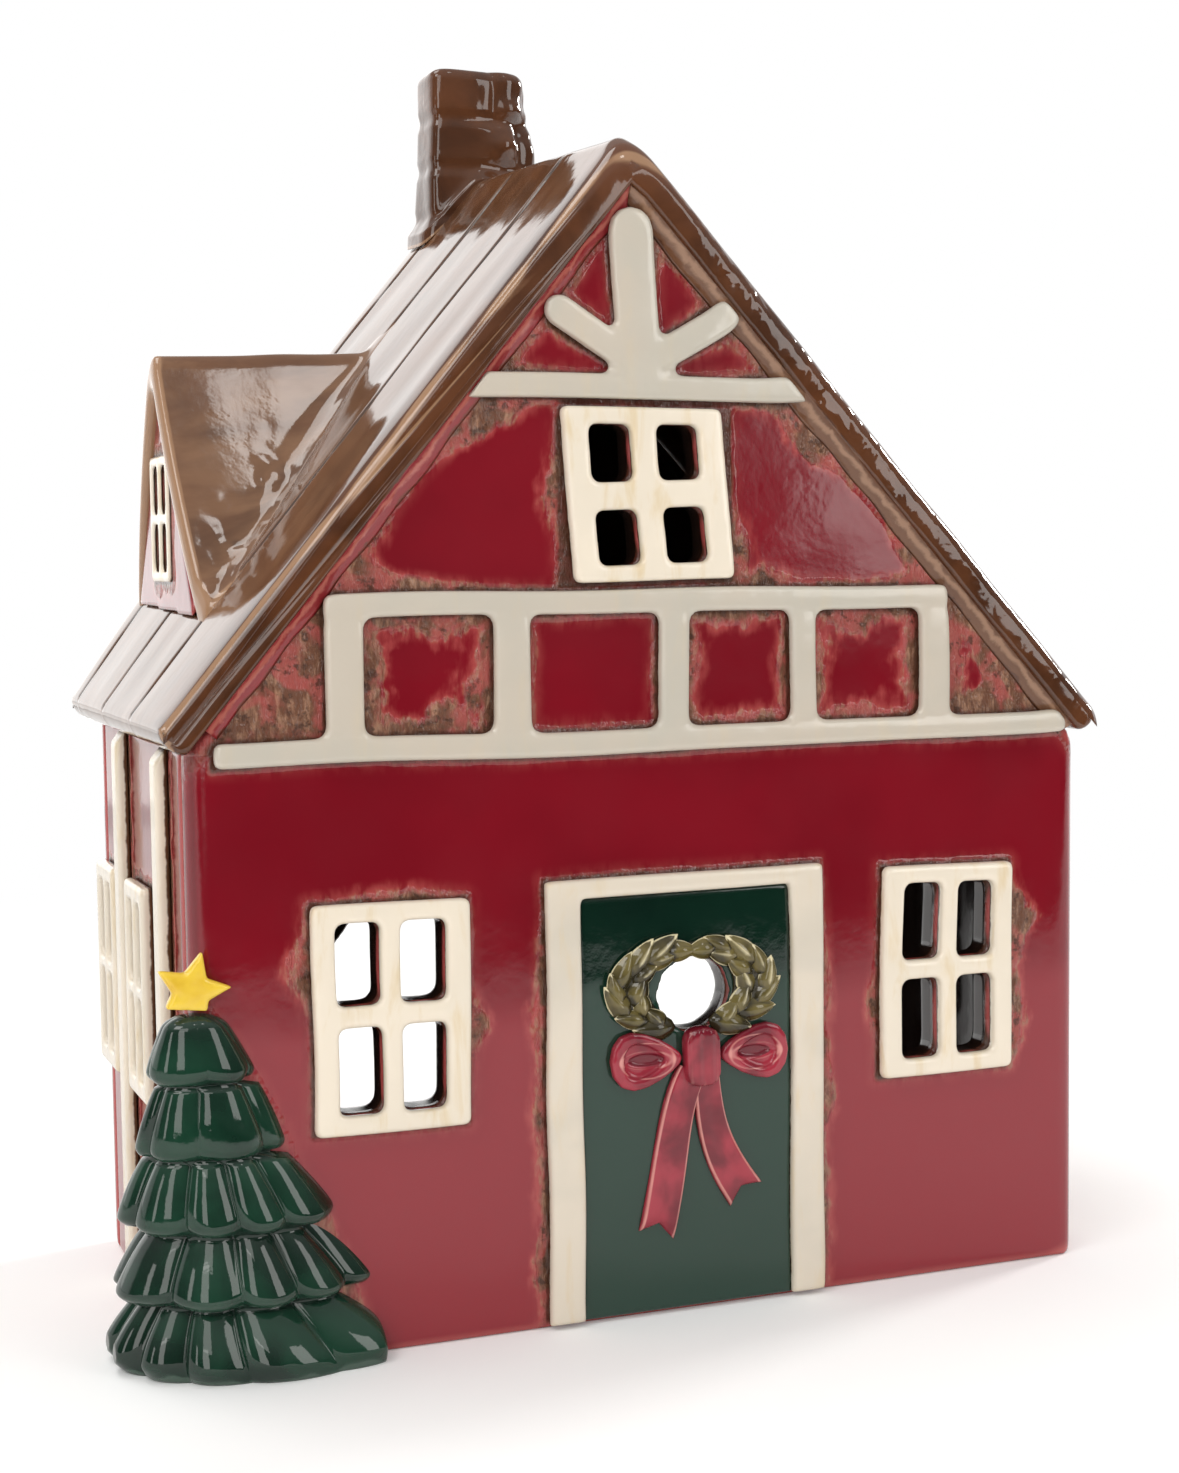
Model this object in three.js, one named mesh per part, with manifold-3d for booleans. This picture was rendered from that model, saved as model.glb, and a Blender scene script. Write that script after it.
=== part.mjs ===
// A glazed ceramic house that holds a tealight: slab-built walls and roof with sprigged trim.
// Millimetres, +Z up, front of the house towards -Y, origin under the middle of the floor.
import * as THREE from "three";
import { mergeVertices } from "three/addons/utils/BufferGeometryUtils.js";
import Module from "manifold-3d";

// Joints between slabs
const seam = 0.3; // luting gap where a piece is cut to its neighbour

// Walls and floor
const houseWidth = 146.1;
const houseMiddle = 0.9; // middle of the width: the right wall stands a little further out
const houseDepth = 73.2;
const wallHeight = 87; // to the underside of the lower beam
const wall = 5.5;
const cornerRadius = 3.6;
const floorThickness = 5;
const doorAxis = 3.4; // everything on the ground floor sits a little right of centre

// Roof
const ridgeX = -4.8; // the hand-cut gable leans left
const ridgeHeight = 179.2; // where the two slopes would meet if the ridge were sharp
const ridgeRise = 4; // the back gable stands higher than the front one
const roofThickness = 5.5;
const vergeFront = 2.5;
const vergeBack = 3;
const eaveReachLeft = 5.4;
const eaveReachRight = 3.4;
const eaveRiseLeft = 4.7; // the two eave edges stand this far above the lower beam's underside
const eaveRiseRight = 2.8;
const eaveTipLeft = wallHeight + eaveRiseLeft;
const eaveTipRight = wallHeight + eaveRiseRight;
const ridgeSoftness = 1.4; // drop of the rounded ridge below the sharp one
const vergeSoftness = 3; // the same drop at the front edge, which is rounded more
const edgeRounding = 1.2;
const boardWidth = 23.5;
const grooveWidth = 1.1;
const grooveDepth = 0.9;

// Windows, seen from outside
const windowWidth = 23.8;
const windowHeight = 33.6;
const windowStile = 3.6;
const windowRail = 2.9;
const windowBar = 3;
const windowSill = 33.2;
const windowInLeft = 28.75; // middle of each window from its corner of the house
const windowInRight = 25.35;
const atticWidth = 26;
const atticStile = 4.1;
const atticRail = 2.6;
const atticBar = 4.1;
const atticX = -1.4;
const atticLean = -2; // its top has slipped this far sideways
const sideWindowWidth = 15;
const sideWindowBar = 2;
const sideWindowStile = 2.4;
const sideWindowFrontY = -1.5;
const sideWindowRearY = 24;
const paneCorner = 1.1;

// Trim pressed onto the walls
const trim = 2;
const trimRounding = 0.6;
const trimCorner = trimRounding * 1.5; // larger than the rounding, so its inset never closes up
const trimLift = 0.8; // trim that runs down the wall stops this far above the table

// Door, wreath and bow
const doorFrameWidth = 46;
const doorFrameHeight = 68.3;
const doorFrameSide = 5.6;
const doorFrameTop = 3;
const leafThickness = 0.9;
const peepholeX = doorAxis + 1.1; // the hole is a little right of the door's middle
const peepholeRadius = 6;
const peepholeHeight = doorFrameHeight - 19;
const wreathWidth = 28.5;
const wreathHeight = 17.5;
const wreathHeightOnDoor = peepholeHeight + 2.3; // the wreath hangs a little high round the hole
const wreathRope = 3.6; // band of clay under the leaves
const wreathLeaves = 15; // in each of the two rows
const leafLength = 6.2;
const leafWidth = 2.8;
const leafDepth = 1.5;
const leafSplay = { outer: 32, inner: -12 }; // degrees off the run of the wreath
const leafRows = { outer: 0.9, inner: -1 }; // millimetres off its middle line
const knotWidth = 5.6;
const knotHeight = 9;
const bowX = doorAxis + 1.6;
const bowCentre = peepholeHeight - 9.4;
const bowLoopWidth = 11.6;
const bowLoopHeight = 8.7;
const bowLoopWaist = 0.5; // share of the height left at the knot
const bowLoopSwell = 0.85;
const bowRim = 1.7;
const bowThickness = 1.6;
const ribbonWidth = 4.6;
const ribbonStart = 0.62; // share of its width where it leaves the knot
const tailNotch = 1.8;
const tails = {
  bow_tail_left: { start: -1.6, bend: [-4.6, -11.5], tip: [-6.2, -21] },
  bow_tail_right: { start: 1.6, bend: [2.2, -11], tip: [7.8, -18.2] },
};

// Timber framing on the front gable
const beamHeight = 3.7;
const beamSpacing = 24; // underside of the lower beam to the top of the upper one
const upperBeamTop = wallHeight + beamSpacing;
const latticeWidths = [19.2, 20.7, 17.6, 17.5]; // the four square panels, left to right
const latticePosts = [5.8, 5.6, 4.8, 4.4, 5]; // the five posts about them
const latticeIn = 19.95; // the first post stands this far in from the left corner
const sunBarShare = 0.4135; // how far up from the upper beam to the ridge the bar crosses the gable
const sunBarBottom = upperBeamTop + sunBarShare * (ridgeHeight - upperBeamTop);
const sunBarHeight = 3.8;
const sunPostDrop = 11.8; // its top stands this far below the sharp ridge
const sunPostTop = ridgeHeight - sunPostDrop;
const sunPostWidth = 6.8;
const sunRayWidth = 4.6;
const sunRays = { left: { share: 0.613, angle: 32 }, right: { share: 0.652, angle: 29 } }; // of the post
const sunHubX = -3.5;
const sunHubRise = 1.1; // the rays spring from this far above the bar
const sunLean = -1.1; // the king post's top has slipped this far sideways

const atticClearance = 1.1; // the gable window fills the height between beam and bar
const atticSill = upperBeamTop + atticClearance;
const atticHeight = sunBarBottom - atticClearance - atticSill;

// Timber posts on the side walls
const sidePostWidth = 5;
const sidePostFrontY = -20.5;
const sidePostRearY = 11.5;

// Dormer on the left slope
const dormerY = 10;
const dormerHalfWidth = 25;
const dormerSink = 4.67; // the roof's surface under its face is this far below its eaves
const dormerEaveRise = 22.3; // its eaves above the top of the walls
const dormerEaveHeight = wallHeight + dormerEaveRise;
const dormerRise = 41.2; // from its eaves to its ridge
const dormerRidgeHeight = dormerEaveHeight + dormerRise;
const dormerSlab = 3;
const dormerWall = 3;
const dormerSetBack = 1.2;
const dormerRounding = 1;
const dormerWindowWidth = 14;
const dormerWindowHeight = 20;
const dormerWindowSill = dormerEaveHeight + 3.5;
const dormerWindowBar = 1.8;

// Chimney at the back end of the ridge
const chimneyX = -5.2;
const chimneyTopWidth = 17.4;
const chimneyBaseWidth = 20.4;
const chimneyDepth = 11.4;
const chimneyBack = 39;
const chimneyRise = 20.8; // above the sharp ridge
const chimneyTop = ridgeHeight + chimneyRise;
const chimneyWall = 2.9;
const chimneyCorner = 1;
const courseHeight = 5.9;
const brickLength = 9;
const mortarWidth = 0.8;
const mortarDepth = 0.55;
const brickSoftness = mortarDepth * 0.6;
const brickSeat = 1.6; // bricks stop above the roof by this many mortar depths, times its steepness

// Opening in the back wall
const archHalfWidth = 41;
const archSpring = 38;
const archTop = 64;

// Fir tree wrapped round the front left corner
const treeTiers = 5;
const treeHeight = 53.3;
const treeStandInX = 11.25; // the middle of its base is this far in from the corner of the house
const treeStandInY = 10.6;
const treeTipOut = 0.25; // and its tip this far outside the corner
const treeBaseRadiusX = 22;
const treeBaseRadiusY = 17.5;
const treeTaper = 0.74; // rims shrink by this share of the height below them
const treeWaist = 0.68; // width of a tier where it goes in under the next one
const treeTopWidth = 0.07;
const treeLobes = 9; // round the lowest tier, one fewer on each tier above
const treeCrease = 0.1; // how deep the creases between lobes are
const treeLobeFullness = 0.55; // below 1 the lobes are fuller and their creases narrower
const treeRimSag = 0.9; // rims hang lower in the middle of a lobe
const treeTwist = 1.1; // turn of the lobes from one tier to the next
const starRadius = 5.6;
const starInnerShare = 0.48;
const starThickness = 1.8;
const starTurn = -8;
const starSeat = 0.5; // share of its radius that stands above the tree's tip

// Derived planes and corners
const frontY = -houseDepth / 2;
const backY = houseDepth / 2;
const leftX = houseMiddle - houseWidth / 2;
const rightX = houseMiddle + houseWidth / 2;
const sideFace = { left: -leftX, right: rightX };
const windowMiddles = { left: leftX + windowInLeft, right: rightX - windowInRight };
const latticeLeft = leftX + latticeIn;
const treeBase = { x: leftX + treeStandInX, y: frontY + treeStandInY };
const treeTip = { x: leftX - treeTipOut, y: frontY };
const verge = { front: frontY - vergeFront, back: backY + vergeBack };
const far = 400; // longer than anything here, for cutting blocks

const clay = {
  red: [0x8e1a2b, 0.16],
  brown: [0x5b3a22, 0.18],
  cream: [0xdcd6c2, 0.25],
  green: [0x1f3d2e, 0.14],
  fir: [0x1d4430, 0.12],
  olive: [0x77714a, 0.2],
  ribbon: [0xa83b46, 0.2],
  yellow: [0xf0c430, 0.22],
};

const wasm = await Module();
wasm.setup();

// A three.js geometry as a closed solid with shared corners.
function solid(geometry) {
  const loose = geometry.index ? geometry.toNonIndexed() : geometry;
  const bare = new THREE.BufferGeometry();
  bare.setAttribute("position", loose.getAttribute("position"));
  const merged = mergeVertices(bare, 1e-4);
  const corners = Array.from(merged.index.array);
  const triVerts = [];
  for (let i = 0; i < corners.length; i += 3) {
    const [a, b, c] = corners.slice(i, i + 3);
    if (a !== b && b !== c && c !== a) triVerts.push(a, b, c);
  }
  const vertProperties = merged.attributes.position.array;
  const mesh = new wasm.Mesh({ numProp: 3, vertProperties, triVerts: new Uint32Array(triVerts) });
  return new wasm.Manifold(mesh);
}

// A solid back as a three.js geometry.
function geometryOf(body) {
  const mesh = body.getMesh();
  const geometry = new THREE.BufferGeometry();
  geometry.setAttribute("position", new THREE.BufferAttribute(mesh.vertProperties, 3));
  geometry.setIndex(new THREE.BufferAttribute(mesh.triVerts, 1));
  geometry.computeVertexNormals();
  return geometry;
}

const group = new THREE.Group();

// Puts one solid into the part as a named mesh in its glaze.
function add(name, body, [color, roughness]) {
  const material = new THREE.MeshStandardMaterial({ color, roughness, metalness: 0 });
  const mesh = new THREE.Mesh(geometryOf(body), material);
  mesh.name = name;
  group.add(mesh);
}

const joined = (bodies) => bodies.reduce((a, b) => a.add(b));
const cut = (body, ...tools) => tools.reduce((a, b) => a.subtract(b), body);

// A box between two corners.
function block(low, high) {
  const size = high.map((v, i) => v - low[i]);
  const box = new THREE.BoxGeometry(...size);
  box.translate(...low.map((v, i) => v + size[i] / 2));
  return solid(box);
}

// Outlines are drawn as seen from outside: across, then up. These turn them onto a side of the house.
const axisX = new THREE.Vector3(1, 0, 0);
const axisY = new THREE.Vector3(0, 1, 0);
const axisZ = new THREE.Vector3(0, 0, 1);
const facing = {
  front: new THREE.Matrix4().makeBasis(axisX, axisZ, axisY.clone().negate()),
  back: new THREE.Matrix4().makeBasis(axisX.clone().negate(), axisZ, axisY),
  left: new THREE.Matrix4().makeBasis(axisY.clone().negate(), axisZ, axisX.clone().negate()),
  right: new THREE.Matrix4().makeBasis(axisY, axisZ, axisX),
  top: new THREE.Matrix4(),
};

// An outline made thick, from one distance to another along the way it faces.
function slab(shape, side, from, to) {
  const depth = to - from;
  const geometry = new THREE.ExtrudeGeometry(shape, { depth, bevelEnabled: false, curveSegments: 5 });
  geometry.translate(0, 0, from);
  return solid(geometry.applyMatrix4(facing[side]));
}

// The same with its outer edges rounded over and its back left flat.
function sprig(shape, side, from, to, rounding = trimRounding) {
  const geometry = new THREE.ExtrudeGeometry(shape, {
    depth: to - from,
    bevelThickness: rounding,
    bevelSize: rounding,
    bevelOffset: -rounding,
    bevelSegments: 2,
    curveSegments: 4,
  });
  geometry.translate(0, 0, from - rounding);
  const keep = new THREE.BoxGeometry(far, far, to - from);
  keep.translate(0, 0, (from + to) / 2);
  const body = solid(geometry.applyMatrix4(facing[side]));
  return body.intersect(solid(keep.applyMatrix4(facing[side])));
}

// A closed outline from corner points.
const polygon = (points) => new THREE.Shape(points.map(([x, y]) => new THREE.Vector2(x, y)));

// A rectangle from its sides, with rounded corners, leaning by `lean` from bottom to top.
function rounded(left, bottom, right, top, radius, lean = 0, pivot = bottom, height = 1) {
  const r = Math.min(radius, (right - left) / 3, (top - bottom) / 3);
  const shape = new THREE.Shape();
  const corners = [
    [right - r, bottom + r, -90],
    [right - r, top - r, 0],
    [left + r, top - r, 90],
    [left + r, bottom + r, 180],
  ];
  const turns = [0, 45, 90];
  const points = corners.flatMap(([x, y, start]) =>
    turns.map((turn) => {
      const angle = THREE.MathUtils.degToRad(start + turn);
      const up = y + r * Math.sin(angle);
      return new THREE.Vector2(x + r * Math.cos(angle) + (lean * (up - pivot)) / height, up);
    }),
  );
  shape.setFromPoints(points);
  return shape;
}

// A skin over rings of equal count. Each ring runs out along one edge and back along the other,
// so a strip from edge to edge closes the first and the last.
function loft(rings) {
  const count = rings[0].length;
  const last = (rings.length - 1) * count;
  const index = [];
  const quad = (a, b, c, d) => index.push(a, b, c, a, c, d);
  for (let start = 0; start < last; start += count) {
    for (let i = 0; i < count; i++) {
      const next = start + ((i + 1) % count);
      quad(start + i, next, next + count, start + i + count);
    }
  }
  for (let i = 0; i + 1 < count / 2; i++) {
    const back = count - 1 - i;
    quad(back, back - 1, i + 1, i);
    quad(last + i, last + i + 1, last + back - 1, last + back);
  }
  const geometry = new THREE.BufferGeometry().setFromPoints(rings.flat());
  const body = solid(geometry.setIndex(index));
  return body.volume() > 0 ? body : solid(geometry.setIndex(index.reverse()));
}

// Numbers evenly spaced from `from` to `to`.
const spread = (from, to, steps) =>
  Array.from({ length: steps + 1 }, (_, i) => from + ((to - from) * i) / steps);

// One roof slope in the cross-section: its eave tip, steepness and direction.
function slopeOf(side, reach, tipZ) {
  const tipX = side * reach;
  const run = Math.abs(ridgeX - tipX);
  const steepness = (ridgeHeight - tipZ) / run;
  const angle = Math.atan(steepness);
  return { side, tipX, tipZ, run, steepness, angle, drop: roofThickness / Math.cos(angle) };
}
const slopes = {
  left: slopeOf(-1, sideFace.left + eaveReachLeft, eaveTipLeft),
  right: slopeOf(1, sideFace.right + eaveReachRight, eaveTipRight),
};
const slopeAt = (x) => (x < ridgeX ? slopes.left : slopes.right);
const dormerFaceX = ridgeX - (ridgeHeight - dormerEaveHeight + dormerSink) / slopes.left.steepness;

// The back of the roof stands higher than the front, except along the eaves.
function lift(x, y) {
  const slope = slopeAt(x);
  const fromEave = Math.min(Math.max(Math.abs(x - slope.tipX) / slope.run, 0), 1);
  const along = (y - verge.front) / (verge.back - verge.front);
  return ridgeRise * along * (1 - (1 - fromEave) ** 6);
}

// Height of the roof's sharp outer surface, and of its rounded one.
function sharpTop(x, y) {
  const slope = slopeAt(x);
  return ridgeHeight - slope.steepness * Math.abs(x - ridgeX) + lift(x, y);
}
function roofTop(x, y, softness = ridgeSoftness) {
  const { steepness } = slopeAt(x);
  const reach = (2 * softness) / steepness;
  const away = Math.abs(x - ridgeX);
  if (away >= reach) return sharpTop(x, y);
  return ridgeHeight + lift(x, y) - (steepness * (reach ** 2 + away ** 2)) / (2 * reach);
}
const roofUnder = (x, y) => sharpTop(x, y) - slopeAt(x).drop;

// Stations across a slope, closer together at the curved ends.
function stations(slope, from, to) {
  const shares = [0, 0.03, 0.08, 0.16, 0.3, 0.6, 0.85, 0.93, 0.96, 0.98, 1];
  return shares.map((share) => from + (to - from) * share);
}

// The cross-section of one roof slab: over the outside from the eave to the ridge and back underneath.
function roofRing(slope, y, sink, softness) {
  const end = new THREE.Vector2(-slope.side * Math.sin(slope.angle), -Math.cos(slope.angle));
  const tip = new THREE.Vector2(slope.tipX, slope.tipZ);
  const foot = tip.clone().addScaledVector(end, roofThickness);
  const shoulder = slope.tipX - slope.side * edgeRounding;
  const nose = [0.75, 0.25].map((share) => foot.clone().lerp(tip, share));
  const over = stations(slope, shoulder, ridgeX).map((x) => [x, roofTop(x, y, softness) - sink]);
  const under = stations(slope, foot.x + slope.side * -edgeRounding, ridgeX);
  const beneath = under.map((x) => [x, roofUnder(x, y) + sink / 2]).reverse();
  const points = [[nose[0].x, nose[0].y], ...over, ...beneath, [nose[1].x, nose[1].y]];
  return points.map(([x, z]) => new THREE.Vector3(x, y, z));
}

// Where the loft needs a ring: the rounded verges and both edges and the bottom of every groove.
function roofStations() {
  const rings = [
    [verge.front, edgeRounding, vergeSoftness],
    [verge.front + edgeRounding / 3, edgeRounding / 3, vergeSoftness],
    [verge.front + edgeRounding, 0, (vergeSoftness + ridgeSoftness) / 2],
    [verge.front + 4 * edgeRounding, 0, ridgeSoftness],
  ];
  const half = grooveWidth / 2;
  for (let y = verge.front + boardWidth; y < verge.back - 2 * boardWidth / 8; y += boardWidth) {
    rings.push([y - half, 0, ridgeSoftness], [y - half / 3, grooveDepth, ridgeSoftness]);
    rings.push([y + half / 3, grooveDepth, ridgeSoftness], [y + half, 0, ridgeSoftness]);
  }
  rings.push([verge.back - edgeRounding, 0, ridgeSoftness]);
  rings.push([verge.back - edgeRounding / 3, edgeRounding / 3, ridgeSoftness]);
  rings.push([verge.back, edgeRounding, ridgeSoftness]);
  return rings;
}

// A roof slab with its board grooves, from ring to ring along the ridge.
function roofSlab(slope) {
  return loft(roofStations().map(([y, sink, softness]) => roofRing(slope, y, sink, softness)));
}

// A block that meets the roof all along its width, from a surface height to a flat far side.
function roofBlock(height, flat) {
  const across = [
    ...stations(slopes.left, slopes.left.tipX, ridgeX),
    ...stations(slopes.right, slopes.right.tipX, ridgeX).reverse().slice(1),
  ];
  const reach = [across[0] - far, ...across, across[across.length - 1] + far];
  const inside = (x) => Math.min(Math.max(x, slopes.left.tipX), slopes.right.tipX);
  const ring = (y, at) => [
    ...reach.map((x) => new THREE.Vector3(x, y, height(inside(x), at) - Math.abs(x - inside(x)))),
    ...reach.map((x) => new THREE.Vector3(x, y, flat)).reverse(),
  ];
  const { front, back } = verge;
  return loft([ring(front - far, front), ring(front, front), ring(back, back), ring(back + far, back)]);
}

// The first of these trims what stands below the roof, and the second seats what stands on it.
const seat = seam * 1.6;
const ceiling = roofBlock((x, y) => roofUnder(x, y) - seat, far);
const roofBulk = roofBlock((x, y) => roofTop(x, y) + seat, -2 * far);

// Four panes in two rows, as outlines in the wall's own directions.
function panes({ x, sill, width, height, stile, rail, bar, lean = 0 }) {
  const paneWidth = (width - 2 * stile - bar) / 2;
  const paneHeight = (height - 2 * rail - bar) / 2;
  const lefts = [x - width / 2 + stile, x + bar / 2];
  const bottoms = [sill + rail, sill + rail + paneHeight + bar];
  return lefts.flatMap((left) =>
    bottoms.map((bottom) => {
      const [right, top] = [left + paneWidth, bottom + paneHeight];
      return rounded(left, bottom, right, top, paneCorner, lean, sill, height);
    }),
  );
}

// A cream frame with its panes cut out.
function windowFrame(size, side, from, thickness = trim) {
  const { x, sill, width, height, lean = 0 } = size;
  const [left, right, top] = [x - width / 2, x + width / 2, sill + height];
  const outline = rounded(left, sill, right, top, trimCorner, lean, sill, height);
  outline.holes = panes(size);
  return sprig(outline, side, from, from + thickness);
}

// The same panes cut straight through the wall behind.
const paneCuts = (size, side, from, to) => panes(size).map((pane) => slab(pane, side, from, to));

const frontWindow = {
  width: windowWidth,
  height: windowHeight,
  sill: windowSill,
  stile: windowStile,
  rail: windowRail,
  bar: windowBar,
};
const windows = {
  window_left: { ...frontWindow, x: windowMiddles.left },
  window_right: { ...frontWindow, x: windowMiddles.right },
  attic_window: {
    x: atticX,
    width: atticWidth,
    height: atticHeight,
    sill: atticSill,
    stile: atticStile,
    rail: atticRail,
    bar: atticBar,
    lean: atticLean,
  },
};
const sideWindow = { ...frontWindow, width: sideWindowWidth, stile: sideWindowStile, bar: sideWindowBar };
const sideWindows = { front: sideWindowFrontY, rear: sideWindowRearY };
const sides = { left: -1, right: 1 };

function addFloor() {
  const low = [leftX + wall, frontY + wall, 0];
  const high = [rightX - wall, backY - wall, floorThickness];
  add("floor_slab", block(low, high), clay.brown);
}

// The end walls run the full width and carry the rounded upright corners of the house.
function endWall(side) {
  const outer = side === "front" ? frontY : backY;
  const inward = side === "front" ? 1 : -1;
  const inner = outer + inward * wall;
  const arc = spread(0, 90, 5).map(THREE.MathUtils.degToRad);
  const corner = (sign, face) =>
    arc.map((angle) => [
      sign * (face - cornerRadius * (1 - Math.sin(angle))),
      outer + inward * cornerRadius * (1 - Math.cos(angle)),
    ]);
  const across = [[rightX, inner], [leftX, inner]];
  const [right, left] = [corner(1, sideFace.right), corner(-1, sideFace.left).reverse()];
  const plan = polygon([...right, ...across, ...left]);
  return cut(slab(plan, "top", 0, ridgeHeight + ridgeRise), ceiling);
}

// The round hole through wall and door, as an outline or as a hole in one.
const peepholeOutline = (Kind) =>
  new Kind().absarc(peepholeX, peepholeHeight, peepholeRadius, 0, 2 * Math.PI);

function addEndWalls() {
  const [inside, outside] = [-frontY - wall - seam, -frontY + seam];
  const cuts = Object.values(windows).flatMap((size) => paneCuts(size, "front", inside, outside));
  const peephole = slab(peepholeOutline(THREE.Shape), "front", inside, outside);
  add("front_wall", cut(endWall("front"), ...cuts, peephole), clay.red);

  const arch = new THREE.Shape();
  arch.moveTo(-doorAxis + archHalfWidth, floorThickness);
  arch.lineTo(-doorAxis + archHalfWidth, archSpring);
  arch.absellipse(-doorAxis, archSpring, archHalfWidth, archTop - archSpring, 0, Math.PI);
  arch.lineTo(-doorAxis - archHalfWidth, floorThickness);
  add("back_wall", cut(endWall("back"), slab(arch, "back", backY - wall - seam, backY + seam)), clay.red);
}

// Side windows and posts: the same on the left and the right.
function sideLayout(side) {
  const turn = sides[side];
  return Object.entries(sideWindows).map(([place, y]) => [place, { ...sideWindow, x: turn * y }]);
}

function addSideWalls() {
  for (const side of Object.keys(sides)) {
    const from = side === "left" ? leftX : rightX - wall;
    const body = block([from, frontY + wall, 0], [from + wall, backY - wall, far / 2]);
    const face = sideFace[side];
    const [inside, outside] = [face - wall - seam, face + seam];
    const cuts = sideLayout(side).flatMap(([, size]) => paneCuts(size, side, inside, outside));
    add(side + "_wall", cut(body, ceiling, ...cuts), clay.red);
    for (const [place, size] of sideLayout(side)) {
      add(side + "_wall_window_" + place, windowFrame(size, side, face), clay.cream);
    }
    for (const [place, y] of Object.entries({ front: sidePostFrontY, rear: sidePostRearY })) {
      add(side + "_wall_post_" + place, sidePost(side, y), clay.cream);
    }
  }
}

// An upright timber on a side wall, from just above the table to the eave.
function sidePost(side, y, grow = 0) {
  const across = sides[side] * y;
  const half = sidePostWidth / 2 + grow;
  const outline = rounded(across - half, trimLift, across + half, far / 4 + wallHeight, trimCorner);
  const face = sideFace[side];
  return cut(sprig(outline, side, face, face + trim + grow), ceiling);
}

// The dormer's cross-section below its outer faces, narrowed by `inset` and closed at `bottom`.
function dormerOutline(inset, bottom) {
  const steepness = dormerRise / dormerHalfWidth;
  const peak = dormerRidgeHeight - inset * Math.hypot(1, steepness);
  const foot = Math.max(bottom, dormerEaveHeight);
  const half = (peak - foot) / steepness;
  const points = [[-half, foot], [half, foot], [0, peak]];
  if (bottom < foot) points.splice(1, 0, [-half, bottom], [half, bottom]);
  return points;
}

// A dormer outline drawn as seen from the left, so across runs towards the front.
const dormerShape = (points) => polygon(points.map(([across, up]) => [across - dormerY, up]));

function dormerHollow() {
  const [low, high] = [dormerEaveHeight - 2 * roofThickness, dormerEaveHeight + 2 * dormerSlab];
  const inset = 2 * dormerSlab;
  const top = dormerOutline(inset, high);
  const half = top[1][0];
  const shape = dormerShape([[-half, low], [half, low], [half, high], top[2], [-half, high]]);
  return slab(shape, "left", -ridgeX, -(dormerFaceX + dormerSetBack + 2 * dormerWall));
}

function addRoof() {
  const flue = flueBlock();
  add("roof_slab_left", cut(roofSlab(slopes.left), dormerHollow(), flue), clay.brown);
  add("roof_slab_right", cut(roofSlab(slopes.right), flue), clay.brown);
}

function addDormer() {
  const steepness = dormerRise / dormerHalfWidth;
  const drop = dormerSlab * Math.hypot(1, steepness);
  const reach = -ridgeX;
  const foot = dormerHalfWidth - dormerSlab;
  const underRidge = dormerRidgeHeight - drop;
  for (const [name, turn] of [["dormer_roof_near", 1], ["dormer_roof_far", -1]]) {
    const outline = [
      [0, dormerRidgeHeight],
      [0, underRidge],
      [turn * foot, underRidge - foot * steepness + dormerSlab],
      [turn * dormerHalfWidth, dormerEaveHeight],
    ];
    const body = sprig(dormerShape(outline), "left", reach, -dormerFaceX, dormerRounding);
    add(name, cut(body, roofBulk), clay.brown);
  }
  const face = -dormerFaceX - dormerSetBack;
  const inset = dormerSlab + seam;
  const top = dormerOutline(inset, dormerEaveHeight);
  const skirt = dormerEaveHeight - 2 * roofThickness;
  const half = top[1][0];
  const eaves = [[half, dormerEaveHeight], top[2], [-half, dormerEaveHeight]];
  const gable = dormerShape([[-half, skirt], [half, skirt], ...eaves]);
  const size = {
    x: -dormerY,
    sill: dormerWindowSill,
    width: dormerWindowWidth,
    height: dormerWindowHeight,
    stile: dormerWindowBar,
    rail: dormerWindowBar,
    bar: dormerWindowBar,
  };
  const cuts = paneCuts(size, "left", face - dormerWall - seam, face + seam);
  add("dormer_gable", cut(slab(gable, "left", face - dormerWall, face), roofBulk, ...cuts), clay.red);
  const clear = slab(dormerShape(dormerOutline(dormerSlab + seam, skirt)), "left", reach, far);
  add("dormer_window", windowFrame(size, "left", face, dormerSetBack / 2).intersect(clear), clay.cream);
}

// The chimney's half-sizes at a height: it widens towards its foot.
function chimneyHalf(z) {
  const share = (chimneyTop - z) / (chimneyTop - ridgeHeight + 2 * roofThickness);
  return chimneyTopWidth / 2 + ((chimneyBaseWidth - chimneyTopWidth) / 2) * share;
}
const chimneyFoot = ridgeHeight - 4 * roofThickness;
const chimneyY = chimneyBack - chimneyDepth / 2;

// A slice of the chimney between two heights, drawn in on all sides.
function chimneySlice(low, high, inset = 0, top = inset) {
  const ring = (z, by) => {
    const halfX = chimneyHalf(z) - by;
    const halfY = chimneyDepth / 2 - by;
    const r = chimneyCorner;
    const corners = [[1, -1], [1, 1], [-1, 1], [-1, -1]];
    return corners.flatMap(([sx, sy]) => {
      const a = new THREE.Vector3(chimneyX + sx * halfX, chimneyY + sy * (halfY - r), z);
      const b = new THREE.Vector3(chimneyX + sx * (halfX - r), chimneyY + sy * halfY, z);
      return sx * sy < 0 ? [b, a] : [a, b];
    });
  };
  return loft([ring(low, inset), ring(high, top)]);
}

function flueBlock() {
  const halfX = chimneyTopWidth / 2 - chimneyWall;
  const halfY = chimneyDepth / 2 - chimneyWall;
  return block(
    [chimneyX - halfX, chimneyY - halfY, chimneyFoot - 2 * roofThickness],
    [chimneyX + halfX, chimneyY + halfY, chimneyTop + seam],
  );
}

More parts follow.
